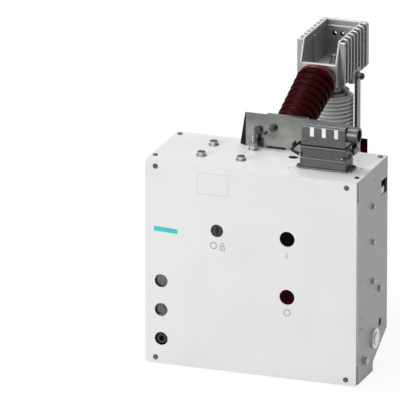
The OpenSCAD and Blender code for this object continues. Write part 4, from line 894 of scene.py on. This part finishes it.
def add_plug_box(bm, wide, deep, low, high):
    """A box that reaches out past the plug's casting by wide and deep."""
    add_box(bm, (PLUG_LEFT - wide, PLUG_FRONT - deep, low), (PLUG_RIGHT + wide, PLUG_BACK + deep, high))


def gland_rods(rods):
    def build(bm):
        for start, end, radius in rods:
            add_rod(bm, at(PLUG_RIGHT + start, PLUG_Y, GLAND_Z), at(PLUG_RIGHT + end, PLUG_Y, GLAND_Z), radius)

    return build


def make_plug():
    hood_front, hood_back = PLUG_FRONT + HOOD_IN, PLUG_BACK - HOOD_IN

    def base(bm):
        for wide, deep, low, high in BASE_BOXES:
            add_plug_box(bm, wide, deep, low, high)

    def hood(bm):
        low, shoulder = PLUG_SEAM + SEAL_HALF, PLUG_TOP - HOOD_EDGE
        add_along_x(bm, [
            (hood_front, low), (hood_front, shoulder), (hood_front + HOOD_EDGE, PLUG_TOP),
            (hood_back - HOOD_EDGE, PLUG_TOP), (hood_back, shoulder), (hood_back, low)],
            PLUG_LEFT + HOOD_IN, PLUG_RIGHT - HOOD_IN)

    def seal(bm):
        out = SEAL_OUT - HOOD_IN
        add_plug_box(bm, out, out, PLUG_SEAM - SEAL_HALF, PLUG_SEAM + SEAL_HALF)

    def slots(bm):
        for x in SLOT_MIDDLES:
            add_box(bm, (x - SLOT_WIDE / 2, hood_front - SLOT_THICK, SLOT_LOW),
                    (x + SLOT_WIDE / 2, hood_front + SLOT_IN, SLOT_HIGH))

    grey = MATERIALS["plug_grey"]
    lower = piece("plug_base_casting", grey, base)
    round_edges(lower, 1.6, 3)
    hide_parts("plug_base")
    upper = piece("plug_hood_casting", MATERIALS["hood_grey"], hood)
    round_edges(upper, 1.8, 3)
    neck = piece("cable_gland", grey, gland_rods(GLAND_RODS))
    cut(neck, gland_rods(GLAND_BORES))
    round_edges(neck, 1)
    for part in (upper, neck):
        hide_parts("plug_hood")
    piece("plug_seal", MATERIALS["rubber"], seal)
    # Painted highlights: three white sheets on the hood's front.
    piece("hood_painted_highlights", plastic("painted_highlight_white", (0.85, 0.85, 0.85), 0.35), slots)


# Each lever: where its pin stands and which way it reaches out
LEVER_PIVOTS = {"left": (99.5, -1), "right": (202.5, 1)}
LEVER_PIVOT_Z = 532
# Outline of an arm, and the sections of the end bar and its grip, out and up from the pin
ARM_OUTLINE = [(-4, -4), (4, -4), (23, 6), (23, 13), (17, 15), (14, 8), (-4, 4)]
BAR_OUT, BAR_UP = (20, 23), (6.5, 13)
GRIP_OUT, GRIP_UP = (21.5, 25), (5.5, 20)
GRIP_HALF = 11
# An arm's near and far face before the casting's side; how far a pin stands out and reaches in
ARM_GAP, ARM_REACH = 0.5, 2.2
PIN_REACH, PIN_IN = 3.4, 1
PIN_R = 2.2


def make_lever(name, pivot_x, side):
    """Thin arms along the casting hold an end bar; both turn about the CAD lever's own pin."""
    def add_bar(bm, outs, ups, y0, y1):
        inner, outer = sorted(pivot_x + side * out for out in outs)
        add_box(bm, (inner, y0, LEVER_PIVOT_Z + ups[0]), (outer, y1, LEVER_PIVOT_Z + ups[1]))

    def bar(bm):
        add_bar(bm, BAR_OUT, BAR_UP, PLUG_FRONT - ARM_REACH, PLUG_BACK + ARM_REACH)
        add_bar(bm, GRIP_OUT, GRIP_UP, PLUG_Y - GRIP_HALF, PLUG_Y + GRIP_HALF)

    def arms(bm):
        outline = [(pivot_x + side * out, LEVER_PIVOT_Z + up) for out, up in ARM_OUTLINE]
        add_along_y(bm, outline, PLUG_FRONT - ARM_REACH, PLUG_FRONT - ARM_GAP)
        add_along_y(bm, outline, PLUG_BACK + ARM_GAP, PLUG_BACK + ARM_REACH)

    def pins(bm):
        front_pin = (PLUG_FRONT - PIN_REACH, PLUG_FRONT + PIN_IN)
        back_pin = (PLUG_BACK - PIN_IN, PLUG_BACK + PIN_REACH)
        for y0, y1 in (front_pin, back_pin):
            add_rod(bm, at(pivot_x, y0, LEVER_PIVOT_Z), at(pivot_x, y1, LEVER_PIVOT_Z), PIN_R, steps=SMALL)

    steel = MATERIALS["lever_steel"]
    grip = piece(f"lever_bar_{name}", steel, bar, f"lever_{name}")
    round_edges(grip, 0.8)
    strap = piece(f"lever_arms_{name}", steel, arms, f"lever_{name}")
    round_edges(strap, 0.4)
    for part in (grip, strap):
        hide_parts(f"plug_lever_{name}")
    piece(f"lever_pins_{name}", MATERIALS["zinc"], pins)


def make_levers():
    for name, (pivot_x, side) in LEVER_PIVOTS.items():
        make_lever(name, pivot_x, side)


# Small fasteners, a black strip painted as the shadow under the bracket, and the side cut-out's flap

BRACKET_FRONT = 174
# Bolts on the bracket: across, height, radius of the washer, and end of the thread
BRACKET_BOLTS = [(-43, 540, 11, 0), (-6, 549, 10, 13), (-27, 534, 5, 9)]
WASHER = 2
# A bolt head's height and size as shares of its washer's radius
BOLT_HEAD_HIGH, BOLT_HEAD_WIDE = 0.65, 0.86
# A black strip at the bracket's foot, painted shadow of the gap under it: lower and upper corners
PAINTED_SHADOW_STRIP = ((-24, BRACKET_FRONT - 0.5, 498), (24, BRACKET_FRONT + 0.2, 503))
STUD_X, STUD_Y = -48, 152
# Bars for add_stack: the stud's shank and nut, then the turns of its thread
STUD_STACK = [(8, 36, 5.9, ROUND), (10, 18, 9.8, HEX)]
STUD_TURNS = 9
STUD_TURN_LOW, STUD_TURN_PITCH, STUD_TURN_THICK = 19.5, 1.8, 0.9
STUD_TURN_R = 6.4
STRUT_HALF, STRUT_Y, STRUT_Z = 66, 497, 588
STRUT_STACK = [(0, 13, 5, SMALL), (6, 10, 9.2, HEX)]
# Screws in the plug's flanges: out past the casting, in depth from its middle, and height of the seat
SCREW_OUT, SCREW_DEEP, SCREW_SEAT = 6, 14, 3.4
SCREW_STACK = [(0, 3.5, 4, ROUND)]
# The flap and its fold behind the side cut-out, and the cut-out's painted edge: lower and upper corners
FLAP_BOXES = [((249, 216, 411), (258.4, 217.6, 449)), ((251, 206, 415), (258.2, 216.5, 446))]
CUTOUT_EDGE = ((258.2, 215.8, 412), (259.8, 217.8, 449))


def make_small_fasteners():
    def bracket(bm):
        for x, z, radius, thread_end in BRACKET_BOLTS:
            stack = [(0, WASHER, radius, ROUND),
                     (WASHER, WASHER + radius * BOLT_HEAD_HIGH, radius * BOLT_HEAD_WIDE, HEX)]
            if thread_end:
                stack.append((WASHER / 2, thread_end, radius / 2, SMALL))
            add_stack(bm, at(x, BRACKET_FRONT, z), FORWARD, stack)

    def stud(bm):
        seat = at(STUD_X, STUD_Y, PLUG_FOOT)
        add_stack(bm, seat, UP, STUD_STACK)
        for i in range(STUD_TURNS):
            low = STUD_TURN_LOW + STUD_TURN_PITCH * i
            add_stack(bm, seat, UP, [(low, low + STUD_TURN_THICK, STUD_TURN_R, ROUND)])

    def strut_ends(bm):
        for side in (-1, 1):
            add_stack(bm, at(AXIS_X + side * STRUT_HALF, STRUT_Y, STRUT_Z), Vector((side, 0, 0)), STRUT_STACK)

    def flange_screws(bm):
        for x in (PLUG_LEFT - SCREW_OUT, PLUG_RIGHT + SCREW_OUT):
            for y in (PLUG_Y - SCREW_DEEP, PLUG_Y + SCREW_DEEP):
                add_stack(bm, at(x, y, PLUG_FOOT + SCREW_SEAT), UP, SCREW_STACK)

    def flap(bm):
        for low, high in FLAP_BOXES:
            add_box(bm, low, high)

    rubber = MATERIALS["rubber"]
    round_edges(piece("bracket_bolts", MATERIALS["bracket_bolt"], bracket), 0.5)
    round_edges(piece("lifting_stud", MATERIALS["bolt_metal"], stud), 0.3)
    round_edges(piece("strut_bolt_ends", MATERIALS["bracket_bolt"], strut_ends), 0.4)
    round_edges(piece("plug_screws", MATERIALS["dull_steel"], flange_screws), 0.4)
    # Painted shadow: a black strip in the gap under the bracket.
    piece("bracket_painted_shadow", rubber, lambda bm: add_box(bm, *PAINTED_SHADOW_STRIP))
    piece("harness_flap", rubber, flap)
    piece("harness_edge", MATERIALS["side_paint"], lambda bm: add_box(bm, *CUTOUT_EDGE))


make_camera()
make_lamps()
make_world()
make_floor()
dress_frame()
make_marks()
make_pole_head()
make_insulators()
make_plug()
make_levers()
make_small_fasteners()
